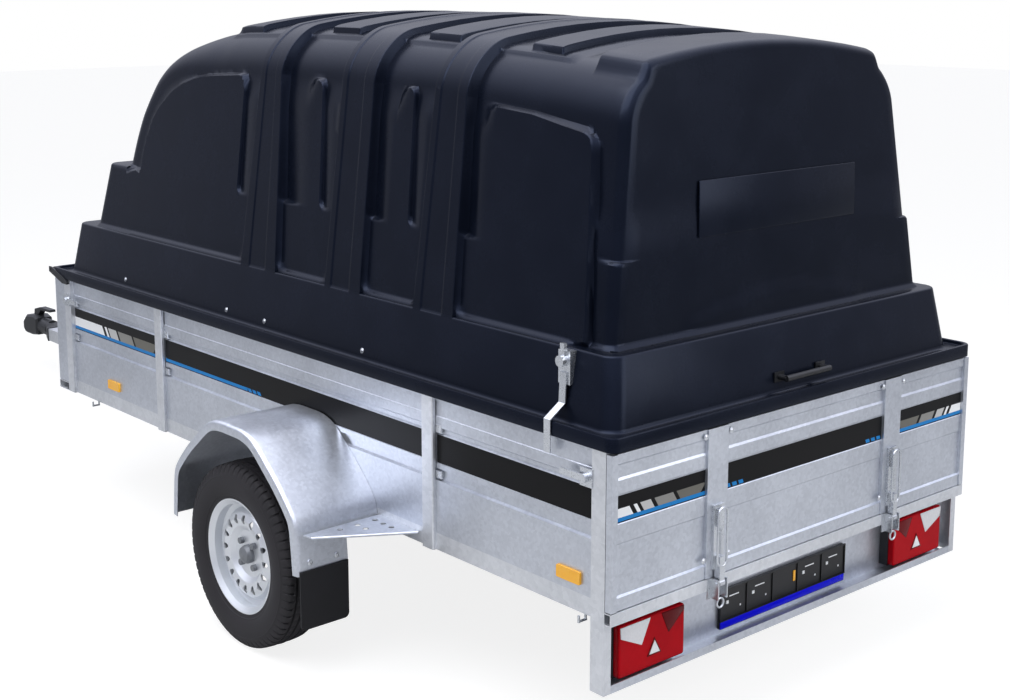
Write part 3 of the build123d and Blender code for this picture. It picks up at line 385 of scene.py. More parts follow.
hoops = ((0.690, 0.868, 0.787), (1.133, 1.315, 1.237), (1.600, 1.806, 1.708))
slot_walls = (0.936, 1.386, 1.895)
slot_backs = (0.892, 1.335, 1.830)
lean_at = np.array([
    (0.134, 0.039), (0.175, 0.0713), (0.30, 0.05), (0.45, 0.03), (0.69, 0.055), (0.868, 0.017),
    (0.936, 0.062), (1.04, 0.05), (1.133, 0.05), (1.315, 0.03), (1.386, 0.083), (1.60, 0.09),
    (1.806, 0.007), (1.895, 0.036), (2.10, 0.0),
])
pads = ((0.494, 0.620), (0.930, 1.080), (1.435, 1.584), (2.000, 2.149))
tail_end, rear_column, body_end, half_strap = 0.335, 0.134, 2.1, 0.0475


def roof_x(start):
    """Where on the roof a column ends that starts at start, as the hoops lean."""
    lean = np.interp(start, lean_at[:, 0], lean_at[:, 1])
    return start + lean * (1 + 0.21 * (1 - rise(np.asarray(start) - 0.25, 0.1)))


def base_of(x):
    """The column whose top stands at x on the roof."""
    many = np.linspace(0.135, 2.2, 4001)
    return np.interp(x, roof_x(many), many)


print("hood", round(2 * side_y(hood_base), 3), "m wide at its foot, roof at", roof_top)

# %% [markdown]
# An edge in the sheet is only as sharp as the grid lines beside it are close. So the
# columns are spread evenly first, and then every edge of a hoop, slot or pad gets four
# close columns on either side of it.

# %% Columns of the hood
column_gap, edge_room = 0.0205, 0.013
edge_steps = (-0.010, -0.0062, -0.0035, -0.0012, 0.0012, 0.0035, 0.0062, 0.010)
edges = [v for hoop in hoops for v in (hoop[0], hoop[1], hoop[2] - half_strap, hoop[2] + half_strap)]
edges += list(slot_walls)
edges += [float(base_of(v)) for pad in pads[:3] for v in pad] + [float(base_of(v)) for v in (tail_end, 2.0)]
edges.append(0.175)
columns = set(np.round(np.arange(rear_column, body_end, column_gap), 5))
for edge in edges:
    columns = {c for c in columns if abs(c - edge) > edge_room}
    columns |= {round(edge + d, 5) for d in edge_steps}
middle = np.array(sorted(c for c in columns if rear_column <= c <= body_end))
middle = middle[np.concatenate([[True], np.diff(middle) > 0.0009])]
count = len(middle)
print(count, "columns along the hood's body")

# %% [markdown]
# Each column is told by a few places: its foot, the top of the pressed panel, the end of
# the wall, the eaves, where wall and roof would meet if the shoulder weren't bent, and the
# ridge. Along the body they follow the lines above, so no place is set by hand.

# %% Body of the hood
side_height = 0.62
top_of_panel = np.array([
    (0.13, 1.630), (0.20, 1.640), (0.30, 1.652), (0.45, 1.676), (0.60, 1.688), (0.75, 1.70),
    (0.87, 1.72), (1.85, 1.72), (1.95, 1.716), (2.10, 1.7085),
])
body = {
    "foot": middle, "ridge_x": roof_x(middle), "ridge_z": roof_z(roof_x(middle)), "crowned": np.ones(count),
    "panel_z": np.interp(middle, top_of_panel[:, 0], top_of_panel[:, 1]), "bend": np.full(count, shoulder),
}
body["panel_x"] = middle + (body["ridge_x"] - middle) * (body["panel_z"] - hood_base) / side_height
body["eaves_z"] = body["ridge_z"] - crown * side_y(body["ridge_z"] - 0.06) ** 2
body["wall_z"] = body["eaves_z"] - shoulder
body["wall_x"] = middle + (body["ridge_x"] - middle) * (body["wall_z"] - hood_base) / side_height
print("eaves at", round(float(body["eaves_z"].max()), 3), "m")

# %% [markdown]
# Round the nose the columns fan out like the ribs of a shell, and the roof runs down to
# them in a curve that no simple formula gives. So a smooth line is drawn through a few
# chosen columns. The roof's crown fades on the way, until the nose is as high in its
# middle as at its sides.

# %% Nose of the hood
nose_rows = [  # roof line x, z; panel top x, z; foot of the column
    (2.100, 1.8893, 2.100, 1.7085, 2.100), (2.213, 1.8720, 2.200, 1.7010, 2.193),
    (2.300, 1.8460, 2.270, 1.6890, 2.263), (2.385, 1.8120, 2.335, 1.6710, 2.326),
    (2.440, 1.7860, 2.380, 1.6540, 2.370), (2.494, 1.7560, 2.420, 1.6350, 2.410),
    (2.545, 1.7220, 2.460, 1.6090, 2.450), (2.590, 1.6830, 2.495, 1.5790, 2.487),
    (2.625, 1.6400, 2.525, 1.5500, 2.518), (2.660, 1.5900, 2.550, 1.5170, 2.546),
    (2.690, 1.5400, 2.568, 1.4750, 2.567), (2.715, 1.4800, 2.582, 1.4300, 2.582),
    (2.735, 1.4200, 2.591, 1.3900, 2.591), (2.755, 1.3450, 2.597, 1.3200, 2.598),
]
nose = smooth_line(nose_rows, 62)[1:]
slope = np.gradient(nose[:, :2], axis=0)
slope /= np.linalg.norm(slope, axis=1)[:, None]
normal = np.stack([-slope[:, 1], slope[:, 0]], axis=1)
weight = 1 - rise(nose[:, 0] - 2.325, 0.45)
nose_line = {
    "foot": nose[:, 4], "ridge_x": nose[:, 0], "ridge_z": nose[:, 1], "crowned": weight,
    "panel_x": nose[:, 2], "panel_z": nose[:, 3],
    "bend": shoulder - 0.055 * rise(nose[:, 0] - 2.4, 0.5),
}
eaves_half = side_y(nose_line["ridge_z"] - 0.06 * weight)
nose_line["eaves_z"] = nose_line["ridge_z"] - crown * eaves_half ** 2 * weight
nose_line["wall_x"] = nose_line["ridge_x"] - nose_line["bend"] * normal[:, 0]
nose_line["wall_z"] = np.maximum(nose_line["eaves_z"] - nose_line["bend"] * normal[:, 1], 1.345)
line = {key: np.concatenate([body[key], nose_line[key]]) for key in body}
print("hood columns", len(line["foot"]), "of which the nose", len(nose_line["foot"]))

# %% [markdown]
# The rows climb each column: close together at the foot, at the step where the panels
# start and at the panels' top, and closer where the shoulder's bend begins. Even rows
# would be simpler, but a step needs several rows within a centimetre to look crisp, and
# as many everywhere would be a mesh many times as heavy.

# %% Rows of the hood


def steps(start, end, near_start, near_end, spacing):
    """Fractions from 0 to 1 with given distances near both ends and even steps between."""
    length = end - start
    a = [d / length for d in near_start]
    b = [1 - d / length for d in near_end]
    inner = np.linspace(a[-1], b[0], max(2, int((b[0] - a[-1]) * length / spacing) + 1))[1:-1]
    return np.array(a + list(inner) + b)


low_rows = np.array([-0.028, -0.020, -0.012, -0.006])
plinth_rows = steps(hood_base, foot_line, (0, 0.003, 0.006, 0.009, 0.012, 0.015, 0.019, 0.025, 0.033),
                    (0.016, 0.011, 0.007, 0.003), 0.02)
panel_rows = steps(foot_line, panel_line, (0, 0.003, 0.006, 0.009, 0.012, 0.016, 0.021, 0.028),
                   (0.022, 0.016, 0.011, 0.007, 0.003), 0.0215)
upper_rows = np.array([0.0, 0.33, 0.66])
turns = np.radians([0, 3, 6, 8.5, 10, 11.5, 13, 15, 17, 19, 21.5, 24.5, 28, 32, 36, 41, 46, 52, 59, 67, 75,
                    83, 90])[::-1]
print("rows", len(low_rows) + len(plinth_rows) + len(panel_rows) + len(upper_rows), "up to the shoulder")

# %% [markdown]
# The shoulder is a quarter turn between wall and roof. A rational curve of the second order
# draws it from three places: the wall's end, the eaves and the roof's end. With the cosine
# of 45 degrees as the pull of the eaves, it is a true arc where wall and roof are square,
# and still an even bend where they lean. Steps along such a curve aren't even turns, so the
# steps for the wanted turns are looked up first.

# %% Columns from foot to ridge
even = np.linspace(0, 1, 400)
pull = math.cos(math.pi / 4)
shared = 2 * pull * even * (1 - even)
angle_of = np.degrees(np.arctan2(shared + even ** 2, shared + (1 - even) ** 2))
bend_rows = np.interp(np.degrees(turns), angle_of, even)
roof_rows = np.array([0.93, 0.8, 0.6, 0.4, 0.2, 0.0])


def column_rows(lines):
    """Half of every column, from the skirt to the roof's middle: x, y, z and the way along it."""
    foot, n = lines["foot"], len(lines["foot"])
    foot_z = np.minimum(foot_line, lines["panel_z"] - 0.03)
    foot_x = foot + (lines["panel_x"] - foot) * (foot_z - hood_base) / (lines["panel_z"] - hood_base)
    panel_top = (lines["panel_x"], lines["panel_z"])
    x, z = [], []
    for d in low_rows:
        x.append(foot)
        z.append(np.full(n, hood_base + d))
    for a, b, fractions in (((foot, np.full(n, hood_base)), (foot_x, foot_z), plinth_rows[:-1]),
                            ((foot_x, foot_z), panel_top, panel_rows[:-1]),
                            (panel_top, (lines["wall_x"], lines["wall_z"]), upper_rows)):
        for f in fractions:
            x.append(a[0] + (b[0] - a[0]) * f)
            z.append(a[1] + (b[1] - a[1]) * f)
    y = [side_y(v) for v in z]
    eaves_y = side_y(lines["eaves_z"])
    roof_y = eaves_y - lines["bend"]
    roof_end = (lines["ridge_x"], roof_y, lines["ridge_z"] - crown * roof_y ** 2 * lines["crowned"])
    wall_end = (lines["wall_x"], side_y(lines["wall_z"]), lines["wall_z"])
    tip = (lines["ridge_x"], eaves_y, lines["eaves_z"])
    for t in bend_rows:
        s = 1 - t
        total = t * t + 2 * pull * t * s + s * s
        spot = [(t * t * e + 2 * pull * t * s * c + s * s * a) / total
                for a, c, e in zip(roof_end, tip, wall_end)]
        x.append(spot[0])
        y.append(spot[1])
        z.append(spot[2])
    for f in roof_rows:
        spot_y = roof_end[1] * f
        x.append(lines["ridge_x"])
        y.append(spot_y)
        z.append(lines["ridge_z"] - crown * spot_y ** 2 * lines["crowned"])
    x, y, z = (np.array(v).T for v in (x, y, z))
    step = np.sqrt(np.diff(x, axis=1) ** 2 + np.diff(y, axis=1) ** 2 + np.diff(z, axis=1) ** 2)
    way = np.concatenate([np.zeros((n, 1)), np.cumsum(step, axis=1)], axis=1)
    return x, y, z, way - way[:, len(low_rows)][:, None]


base_row = len(low_rows)
foot_row = base_row + len(plinth_rows) - 1
panel_row = foot_row + len(panel_rows) - 1
arc_row = panel_row + len(upper_rows)
x, y, z, way = column_rows(line)
print("hood rows", x.shape[1], "arc starts at", arc_row)

# %% [markdown]
# Suction pulls the soft sheet into each form of the mould. Every form is a height over the
# smooth body, worked out from three distances: start, where a point's column stands along
# the trailer, above, over the foot line, and below, under the panels' top. The panels and
# hoops stand out more at the foot than at the top, so they get lower as the column climbs.

# %% Outward directions and distances


def outward(grid):
    """Outward normals of a grid of points, from the differences to its neighbours."""
    across, along = np.gradient(grid, axis=0), np.gradient(grid, axis=1)
    out = np.cross(across, along)
    return out / np.maximum(np.linalg.norm(out, axis=2), 1e-12)[:, :, None]


def panel_step(g):
    """How far a panel stands out, g along the column."""
    return 0.034 - 0.025 * np.clip(g, 0, 0.6)


def hoop_step(g):
    """How far a hoop stands out, g along the column."""
    return np.where(g < 0.62, 0.054 - 0.035 * np.clip(g, 0, 0.62), 0.0323 - 0.0043 * rise(g - 0.7, 0.16))


smooth = np.stack([x, y, z], axis=2)
out = outward(smooth)
if out[len(out) // 2, base_row + 10, 1] < 0:
    out = -out
out[:, :arc_row] *= np.sign(out[:, :arc_row, 1:2])
start = np.repeat(line["foot"][:, None], x.shape[1], axis=1)
foot_way, panel_way = way[:, foot_row][:, None], way[:, panel_row][:, None]
above = way - foot_way
below = panel_way - way
curve = smooth_line([row[2:4] for row in nose_rows], 300)
nose_block_top = 1.335
for k in range(count, len(start)):
    for r in range(base_row, arc_row + 1):
        near = np.min(np.hypot(curve[:, 0] - x[k, r], curve[:, 1] - z[k, r]))
        below[k, r] = max(near if r < panel_row else -near, nose_block_top - z[k, r])
    below[k, arc_row + 1:] = -0.05
print("distances for", start.size, "places")

# %% [markdown]
# The panels first: each ends in a step at its top and in a deep hollow behind a slot's
# wall, where the sheet falls back to the hoop. Each could be cut in and pushed out in edit
# mode, but the forms run into one another. Products of soft steps cut one form out of
# another without any new edges in the grid.

# %% Panels and slots
pressed = np.ones_like(start)
slot_round, first_strip = 0.022, 0.600
soft = (start > first_strip) * (start < hoops[0][0]) * np.clip((start - first_strip) / 0.03, 0, 1)
for wall, hoop in zip(slot_walls, hoops):
    soft = np.maximum(soft, (start > hoop[1]) * (start <= wall))
for wall, ahead in zip(slot_walls[:2], hoops[1:]):
    soft = np.maximum(soft, (start > wall) * (start < ahead[0]) * np.clip((start - wall - 0.045) / 0.045, 0,
                                                                          1))
pressed *= rise(below - 0.045 * soft, 0.011 + 0.11 * soft)
for wall, back in zip(slot_walls, slot_backs):
    slot = corner(wall - start, above, slot_round)
    sharp = 0.0045 + 0.008 * np.clip((wall - start - above) / 0.02 + 0.5, 0, 1)
    ramp = np.clip((start - back) / (wall - back), 0, 1)
    hollow = 0.5 * rise(slot, sharp) * ramp ** 1.3 * (start > back)
    pressed = np.where(start > back, pressed * (1 - hollow), pressed)
    radius = 0.045 if wall > 1.8 else 0.028
    strip = corner(start - wall, below, radius)
    top = rise(strip, 0.0045 + 0.0065 * np.clip((start - wall - below) / 0.02 + 0.5, 0, 1))
    near = (start > wall) & (start < wall + 0.1) & (above > 0.03)
    pressed = np.where(near, np.minimum(pressed, top), pressed)
for hoop, width in zip(hoops, (0.078, 0.098, 0.150)):
    u = hoop[0] - start
    inside = (u > -0.001) & (u < width)
    ramp = np.clip(1 - u / width, 0, 1)
    hollow = 0.55 * rise(corner(np.maximum(u, 0), above, slot_round), 0.012) * rise(ramp - 0.5, 1.0)
    pressed = np.where(inside, pressed * (1 - hollow), pressed)
# The rear panel ends in a step of its own, and a narrow column stands at the corner.
rear_part = 0.4
edge_x = 0.176 + 0.115 * (z - 1.11)
rear_side = rise(corner(x - edge_x, below, 0.035), 0.011)
pressed = np.where((start < rear_part) & (z < 1.75), np.minimum(pressed, rear_side), pressed)
level = panel_step(way) * pressed
corner_x = rear_x(z) + 0.006
channel = rise(corner(corner_x + 0.048 - x, z - foot_line, 0.012), 0.008)
column = 0.012 * np.where(z < foot_line, 1.0, (1 - rise(z - 1.40, 0.14)) * (1 - channel))
level = np.where(start < rear_part, np.maximum(level, column * (1 - rear_side) * (way < panel_way + 0.02)),
                 level)
print("panels stand out", round(float(level.max()), 4), "m")

# %% [markdown]
# The hoops are wider raised bands with a shallow groove for the strap in their middle.
# Inside a hoop its own height replaces the panel's; the walls between the two are a little
# over a centimetre wide, as deep drawing needs some slope to leave the mould.

# %% Hoops
window = np.full_like(start, 1.0)
wall_width = 0.010 + 0.004 * (way < 0.03)
for hoop in hoops:
    behind = corner(hoop[0] - start, way, 0.030)
    ahead = corner(start - hoop[1], way, 0.030)
    side = np.where(start < (hoop[0] + hoop[1]) / 2, behind, ahead)
    window = np.minimum(window, rise(side - wall_width / 2, wall_width))
band_step, rear_step, rear_band = 0.0465, 0.022, 0.3
target = np.where(start < rear_band, rear_step + (band_step - rear_step) * rise(start - 0.21, 0.05),
                  hoop_step(way))
hooped = np.zeros_like(start)
for hoop in hoops:
    hooped = np.maximum(hooped, (start > hoop[0] - 0.002) * (start < hoop[1] + 0.002))
target = np.where((hooped < 1) & (start >= rear_band), np.minimum(target, band_step), target)
level = level * window + target * (1 - window)
strap_depth = 0.003
for hoop in hoops:
    strip = rise(start - (hoop[2] - half_strap), 0.006) * rise((hoop[2] + half_strap) - start, 0.006)
    strip *= rise(way, 0.006)
    level -= strap_depth * strip
lowest = z < hood_base - 0.001
sink = 0.0555 + 0.158 * (hood_base - z) + 0.13 * (z - hood_base) - 0.004 * (z < hood_base - 0.02)
level = np.where(lowest, np.where(hooped > 0, sink, 0.036), level)
level = np.where(lowest & (start < rear_band), 0.010, level)
print("hoops stand out", round(float(level.max()), 4), "m")

# %% [markdown]
# On the roof lie flat pads for straps and roof bars, over a broad plateau. They rise
# straight up and not along the sheet's normal, so that their walls stay upright, and only
# as far as they stand over the hoops, which run on below them.

# %% Pads on the roof
plateau, pad_height, tail_height, pad_wall = 0.008, 0.026, 0.028, 0.006
wide = np.abs(y)
in_roof = way > panel_way + 0.02
lift = plateau * rise(x - 0.45, 0.03) * rise(2.17 - x, pad_wall) * rise(0.486 - wide, pad_wall) * in_roof
for rear, front in pads:
    pad = rise(x - rear, pad_wall) * rise(front - x, pad_wall) * rise(0.470 - wide, 0.008) * in_roof
    lift = np.maximum(lift, pad_height * pad)
tail = rise(tail_end - x, pad_wall) * rise(0.496 - wide, 0.030) * in_roof
lift = np.maximum(lift, tail_height * tail)
lift = np.maximum(lift - level * out[:, :, 2] * in_roof, 0)
upward = np.clip(way / 0.05, 0, 1) * out[:, :, 2]
hood_points = smooth + np.stack([out[:, :, 0], out[:, :, 1], upward], axis=2) * level[:, :, None]
hood_points[:, :, 2] += lift
print("hood top", round(float(hood_points[:, :, 2].max()), 4), "side",
      round(float(hood_points[:, :, 1].max()), 4))

# %% [markdown]
# The rear face closes the hood behind. It could be a flat cap, but the real edge is a soft
# bend. So the outline of the last column is taken round a quarter turn in six bands, and
# the face itself is a leaning sheet with a low step along its corners and a shallow gable
# above the skirt.

# %% Rear face of the hood
rear_round, rear_turns = 0.025, (90, 75, 60, 45, 30, 15)
outline, inward = hood_points[0], -out[0]
bands = []
for angle in np.radians(rear_turns):
    ring = outline + inward * rear_round * (1 - math.cos(angle))
    mismatch = outline[:, 0] - rear_x(outline[:, 2]) - rear_round
    ring[:, 0] = rear_x(ring[:, 2]) + rear_round * (1 - math.sin(angle)) + mismatch * math.cos(angle)
    bands.append(ring)
bands = np.array(bands)
across = np.linspace(1, 0, 25)
rear_points = np.zeros((len(outline), len(across), 3))
rear_points[:, :, 1] = bands[0][:, 1][:, None] * across
rear_points[:, :, 2] = bands[0][:, 2][:, None]
rear_points[:, :, 0] = rear_x(rear_points[:, :, 2])


def rear_relief(points):
    """How far the rear face stands out: a low step round the corner and a shallow gable."""
    wide, height = np.abs(points[..., 1]), points[..., 2]
    edge = side_y(height, 0.664, 0.14) - 0.047
    channel = rise(corner(wide - edge, height - foot_line, 0.012), 0.008)
    relief = 0.008 * np.where(height < foot_line, 1.0, (1 - rise(height - 1.40, 0.14)) * (1 - channel))
    gable = 1.195 - 0.155 * wide
    relief += 0.004 * rise(gable - height, 0.012) * rise(0.37 - wide, 0.05)
    return relief + 0.010 * np.clip(1 - (height - hood_base) / 0.013, 0, 1) * (height > hood_base - 0.001)


bands[:, :, 0] -= rear_relief(bands) * np.sin(np.radians(rear_turns))[:, None]
rear_points[:, :, 0] -= rear_relief(rear_points)
hood_points = np.concatenate([bands, hood_points])
print("rear face", rear_points.shape[:2])

# %% [markdown]
# In front of the nose the hood steps down to a low block with a flat shelf. The shelf is
# stretched between the nose's last column and the block's rounded outline, with as many
# points in both, so that nose and block stay one sheet as they are in the mould.

# %% Shelf before the nose
shelf_z, edge_r, corner_r = 1.341, 0.012, 0.054
block_front, block_lean = 2.862, 0.19


def block_x(z):
    """Place of the block's front face."""
    return block_front + block_lean * (shelf_z - z)


def block_y(z):
    """Half width of the block."""
    return side_y(z) + panel_step(z - hood_base)


last = hood_points[-1]
side_rows = arc_row + 1
old_z = z[-1, :side_rows]
new_z = hood_base + (old_z - hood_base) * (shelf_z - edge_r - hood_base) / (old_z[-1] - hood_base)
new_z = np.where(old_z < hood_base, old_z, new_z)
spread = np.concatenate([[0.035], np.linspace(0.1, 1.0, 13)])
round_rows = 6
fillet = np.linspace(0, 1, round_rows + 1)
total_rows = last.shape[0]
bend_count = len(bend_rows)
shelf = [last]
bevel = 0.0125 * np.clip(1 - (new_z - hood_base) / 0.013, 0, 1)
bevel = np.where(new_z < hood_base - 0.001, 0.006, bevel)
foot_curve = last[arc_row + round_rows:].copy()
outer = []
for k in range(arc_row + round_rows, total_rows):
    j = k - arc_row
    if j < bend_count:
        angle = (j - round_rows) / (bend_count - 1 - round_rows) * math.pi / 2
        r = corner_r - edge_r
        cx, cy = block_x(shelf_z) - corner_r, block_y(shelf_z) - corner_r
        outer.append((cx + r * math.sin(angle), cy + r * math.cos(angle)))
    else:
        outer.append((block_x(shelf_z) - edge_r, (block_y(shelf_z) - corner_r) * roof_rows[j - bend_count]))
outer = np.array(outer)
for t in spread:
    points = np.zeros((total_rows, 3))
    e_x = last[arc_row, 0] + (block_x(shelf_z - edge_r) - corner_r - last[arc_row, 0]) * t
    b_x = last[base_row, 0] + (block_x(hood_base) - corner_r - last[base_row, 0]) * t
    height = np.clip((new_z - hood_base) / (new_z[-1] - hood_base), 0, 1)
    points[:side_rows, 0] = b_x + (e_x - b_x) * height
    points[:side_rows, 1] = block_y(new_z) + bevel
    points[:side_rows, 2] = new_z
    for j in range(1, round_rows + 1):
        angle = fillet[j] * math.pi / 2
        points[arc_row + j] = (e_x, block_y(shelf_z) - edge_r * (1 - math.cos(angle)),
                               shelf_z - edge_r * (1 - math.sin(angle)))
    points[arc_row + round_rows:, :2] = foot_curve[:, :2] * (1 - t) + outer * t
    points[arc_row + round_rows, 0] = e_x
    points[arc_row + round_rows:, 2] = shelf_z
    shelf.append(points)
shelf = np.array(shelf)
print("shelf", shelf.shape[:2])

# %% [markdown]
# The block's front face repeats the shelf's outline at falling heights. At the edge each
# ring grows outwards round a quarter turn, and at the foot it flares where the mould
# leaves a bead.

# %% Front of the nose block
front_levels = []
for j in range(round_rows, -1, -1):
    angle = fillet[j] * math.pi / 2
    front_levels.append((edge_r * math.cos(angle), shelf_z - edge_r * (1 - math.sin(angle)), 0.0))
for r in range(arc_row - 1, -1, -1):
    front_levels.append((edge_r, new_z[r], bevel[r]))
front = []
for grow, height, extra in front_levels:
    ring = []
    reach = corner_r - edge_r + grow
    if height < shelf_z - edge_r + 1e-9:
        face_x, face_y = block_x(min(height, shelf_z)), block_y(min(height, shelf_z - edge_r))
    else:
        face_x, face_y = block_x(shelf_z - edge_r), block_y(shelf_z - edge_r)
    for k in range(arc_row + round_rows, total_rows):
        j = k - arc_row
        if j < bend_count:
            angle = (j - round_rows) / (bend_count - 1 - round_rows) * math.pi / 2
            more = extra * (1 - 0.45 * angle / (math.pi / 2))
            cx, cy = face_x - corner_r, face_y - corner_r
            ring.append((cx + (reach + more) * math.sin(angle), cy + (reach + more) * math.cos(angle),
                         height))
        else:
            ring.append((face_x - edge_r + grow + extra * 0.55,
                         (face_y - corner_r) * roof_rows[j - bend_count], height))
    front.append(ring)
front = np.array(front)
boundary = np.concatenate([shelf[-1][arc_row:arc_row + round_rows + 1][::-1], shelf[-1][:arc_row][::-1]])
front[:, 0] = boundary
front[0, :] = shelf[-1][arc_row + round_rows:]
print("front", front.shape[:2])

# %% [markdown]
# Four patches are ready as plain arrays of points. A grid primitive has the right faces
# already, so each patch starts as one with as many vertices, which are then moved to their
# places, less the distance from the rear of the box to the trailer's middle. Their borders
# share points, so merging doubles makes them one closed sheet.

# %% The hood as one mesh
row_shift = 2.5355


def laid_out(name, grid):
    """A grid primitive whose vertices are moved to the given places."""
    rows, lines = grid.shape[:2]
    bpy.ops.object.select_all(action="DESELECT")
    bpy.ops.mesh.primitive_grid_add(x_subdivisions=rows - 1, y_subdivisions=lines - 1, size=2)
    piece = bpy.context.object
    piece.name = name
    flat = np.empty(len(piece.data.vertices) * 3)
    piece.data.vertices.foreach_get("co", flat)
    flat = flat.reshape(-1, 3)
    a = np.rint((flat[:, 0] + 1) / 2 * (rows - 1)).astype(int)
    b = np.rint((flat[:, 1] + 1) / 2 * (lines - 1)).astype(int)
    places = grid[a, b].copy()
    places[:, 0] -= row_shift
    piece.data.vertices.foreach_set("co", places.ravel())
    piece.data.update()
    return piece


def mirrored_over(grid):
    """The grid's rows followed by their mirror images, down to the other side."""
    other = grid[:, -2::-1].copy()
    other[:, :, 1] *= -1
    return np.concatenate([grid, other], axis=1)


def joined(name, pieces, merge=0.00002):
    """One mesh from several, its doubles merged and its faces turned outwards."""
    bpy.ops.object.select_all(action="DESELECT")
    for piece in pieces:
        piece.select_set(True)
    bpy.context.view_layer.objects.active = pieces[0]
    bpy.ops.object.join()
    whole = bpy.context.object
    whole.name = whole.data.name = name
    bpy.ops.object.mode_set(mode="EDIT")
    bpy.ops.mesh.select_all(action="SELECT")
    bpy.ops.mesh.remove_doubles(threshold=merge)
    bpy.ops.mesh.normals_make_consistent(inside=False)
    bpy.ops.object.mode_set(mode="OBJECT")
    return whole


def smoothed(degrees):
    """Smooth shading on the active piece, apart from edges sharper than the given angle."""
    bpy.ops.object.shade_smooth_by_angle(angle=math.radians(degrees))


parts = [laid_out("hood_main", mirrored_over(hood_points)),
         laid_out("hood_rear", mirrored_over(rear_points)),
         laid_out("hood_shelf", mirrored_over(shelf)), laid_out("hood_front", mirrored_over(front))]
hood = joined("cover_hood", parts)
smoothed(38)
hood.data.materials.clear()
hood.data.materials.append(cover_moulding)
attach(hood, "cover_body")
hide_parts("cover_shell")
print("hood", len(hood.data.vertices), "vertices,", len(hood.data.polygons), "faces")

# %% [markdown]
# Below the hood the same sheet widens into a skirt that leans out to the rim, and the rim
# turns over the walls of the trailer. A thickness modifier would give every wall the same
# depth, but here the inner side runs its own way. So the ring is laid out as rounded
# rectangles, one per height, joined into a band that closes on itself inside.

# %% Skirt and rim
skirt_levels = (  # rear, front, half width, corner radius, height
    (-0.027, 3.090, 0.785, 0.030, 0.8825), (-0.027, 3.090, 0.785, 0.030, 0.9160),
    (-0.0255, 3.0885, 0.7835, 0.029, 0.9192), (-0.0225, 3.0855, 0.7805, 0.028, 0.9205),
    (-0.0185, 3.0815, 0.7765, 0.026, 0.9198), (-0.0160, 3.0790, 0.7740, 0.025, 0.9170),
    (-0.0150, 3.0780, 0.7730, 0.024, 0.9110), (-0.0130, 3.0760, 0.7710, 0.023, 0.9090),
    (-0.0100, 3.0730, 0.7680, 0.022, 0.9085), (0.0120, 3.0510, 0.7460, 0.046, 0.9085),
    (0.0170, 3.0460, 0.7410, 0.048, 0.9100), (0.0205, 3.0425, 0.7375, 0.050, 0.9140),
    (0.0220, 3.0410, 0.7360, 0.050, 0.9200), (0.0500, 3.0130, 0.7080, 0.047, 1.0925),
    (0.0520, 3.0110, 0.7060, 0.045, 1.0960), (0.0560, 3.0070, 0.7020, 0.042, 1.0981),
    (0.0620, 3.0010, 0.6960, 0.040, 1.0985), (0.1500, 2.9000, 0.6300, 0.040, 1.0985),
    (0.1500, 2.9000, 0.6300, 0.040, 1.0925), (0.0640, 2.9990, 0.6940, 0.034, 1.0925),
    (0.0560, 3.0070, 0.7020, 0.040, 1.0880), (0.0280, 3.0350, 0.7300, 0.044, 0.9025),
    (-0.0140, 3.0770, 0.7720, 0.020, 0.9025), (-0.0190, 3.0820, 0.7770, 0.022, 0.8825),
)
corner_points, side_points = 9, 14


def rounded_ring(rear, front, half, radius, height):
    """Points round a rectangle with rounded corners, at one height."""
    ring = []
    for cx, cy, start in ((front - radius, half - radius, 0), (rear + radius, half - radius, 90),
                          (rear + radius, radius - half, 180), (front - radius, radius - half, 270)):
        for k in range(corner_points):
            angle = math.radians(start + 90 * k / (corner_points - 1))
            ring.append((cx + radius * math.cos(angle), cy + radius * math.sin(angle), height))
        if start in (0, 180):
            nearer = np.linspace(0, 1, side_points)[1:-1]
            last_x = ring[-1][0]
            other = (rear + radius) if start == 0 else (front - radius)
            ring += [(last_x + (other - last_x) * f, ring[-1][1], height) for f in nearer]
    return ring


band = np.array([rounded_ring(*level) for level in skirt_levels])
band = np.concatenate([band, band[:1]], axis=0)
band = np.concatenate([band, band[:, :1]], axis=1)
skirt = joined("cover_skirt", [laid_out("skirt_band", band)])
smoothed(40)
skirt.data.materials.clear()
skirt.data.materials.append(cover_moulding)
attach(skirt, "cover_body")
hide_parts("cover_shell")
print("skirt", len(skirt.data.polygons), "faces")

# %% [markdown]
# The walls carry a printed film: black ground, a blue line and, towards the front, a white
# field that breaks up into slanted grey blocks. Film is so thin that it only shows as
# colour with a slightly raised edge. Each colour is cut as flat strips that are laid over
# one another, as the printer lays its inks.

# %% Printed films


def film_finish(name, colour):
    """Printed vinyl: an even colour under a smooth, slightly glossy top layer."""
    return speckled(name, colour, colour, 0.3, 0.004, 0.0001, IOR=1.46, Specular_IOR_Level=0.12)


# The ground of the stripe: near black, so that the wall's zinc frames it.
film_black = film_finish("printed_film_black", "#0f0f10")
# The line below it and the dots behind: a clear mid blue.
film_blue = film_finish("printed_film_blue", "#1f7fc4")
# The field towards the corner, and after it three greys, each darker than the last.
film_white = film_finish("printed_film_white", "#f2f3f4")
film_pale = film_finish("printed_film_pale_grey", "#c3c3c2")
film_grey = film_finish("printed_film_grey", "#8d8c88")
film_dark = film_finish("printed_film_dark_grey", "#6f6d66")
print("six film colours")

# %% [markdown]
# A flat piece starts as a plane whose four corners are set, and extruding it gives it its
# depth. The same start serves films, clips, windows and ribs, so it is a function. So is
# what finishes each piece, and the small bevel that softens the edges of the thicker ones.

# %% Flat pieces


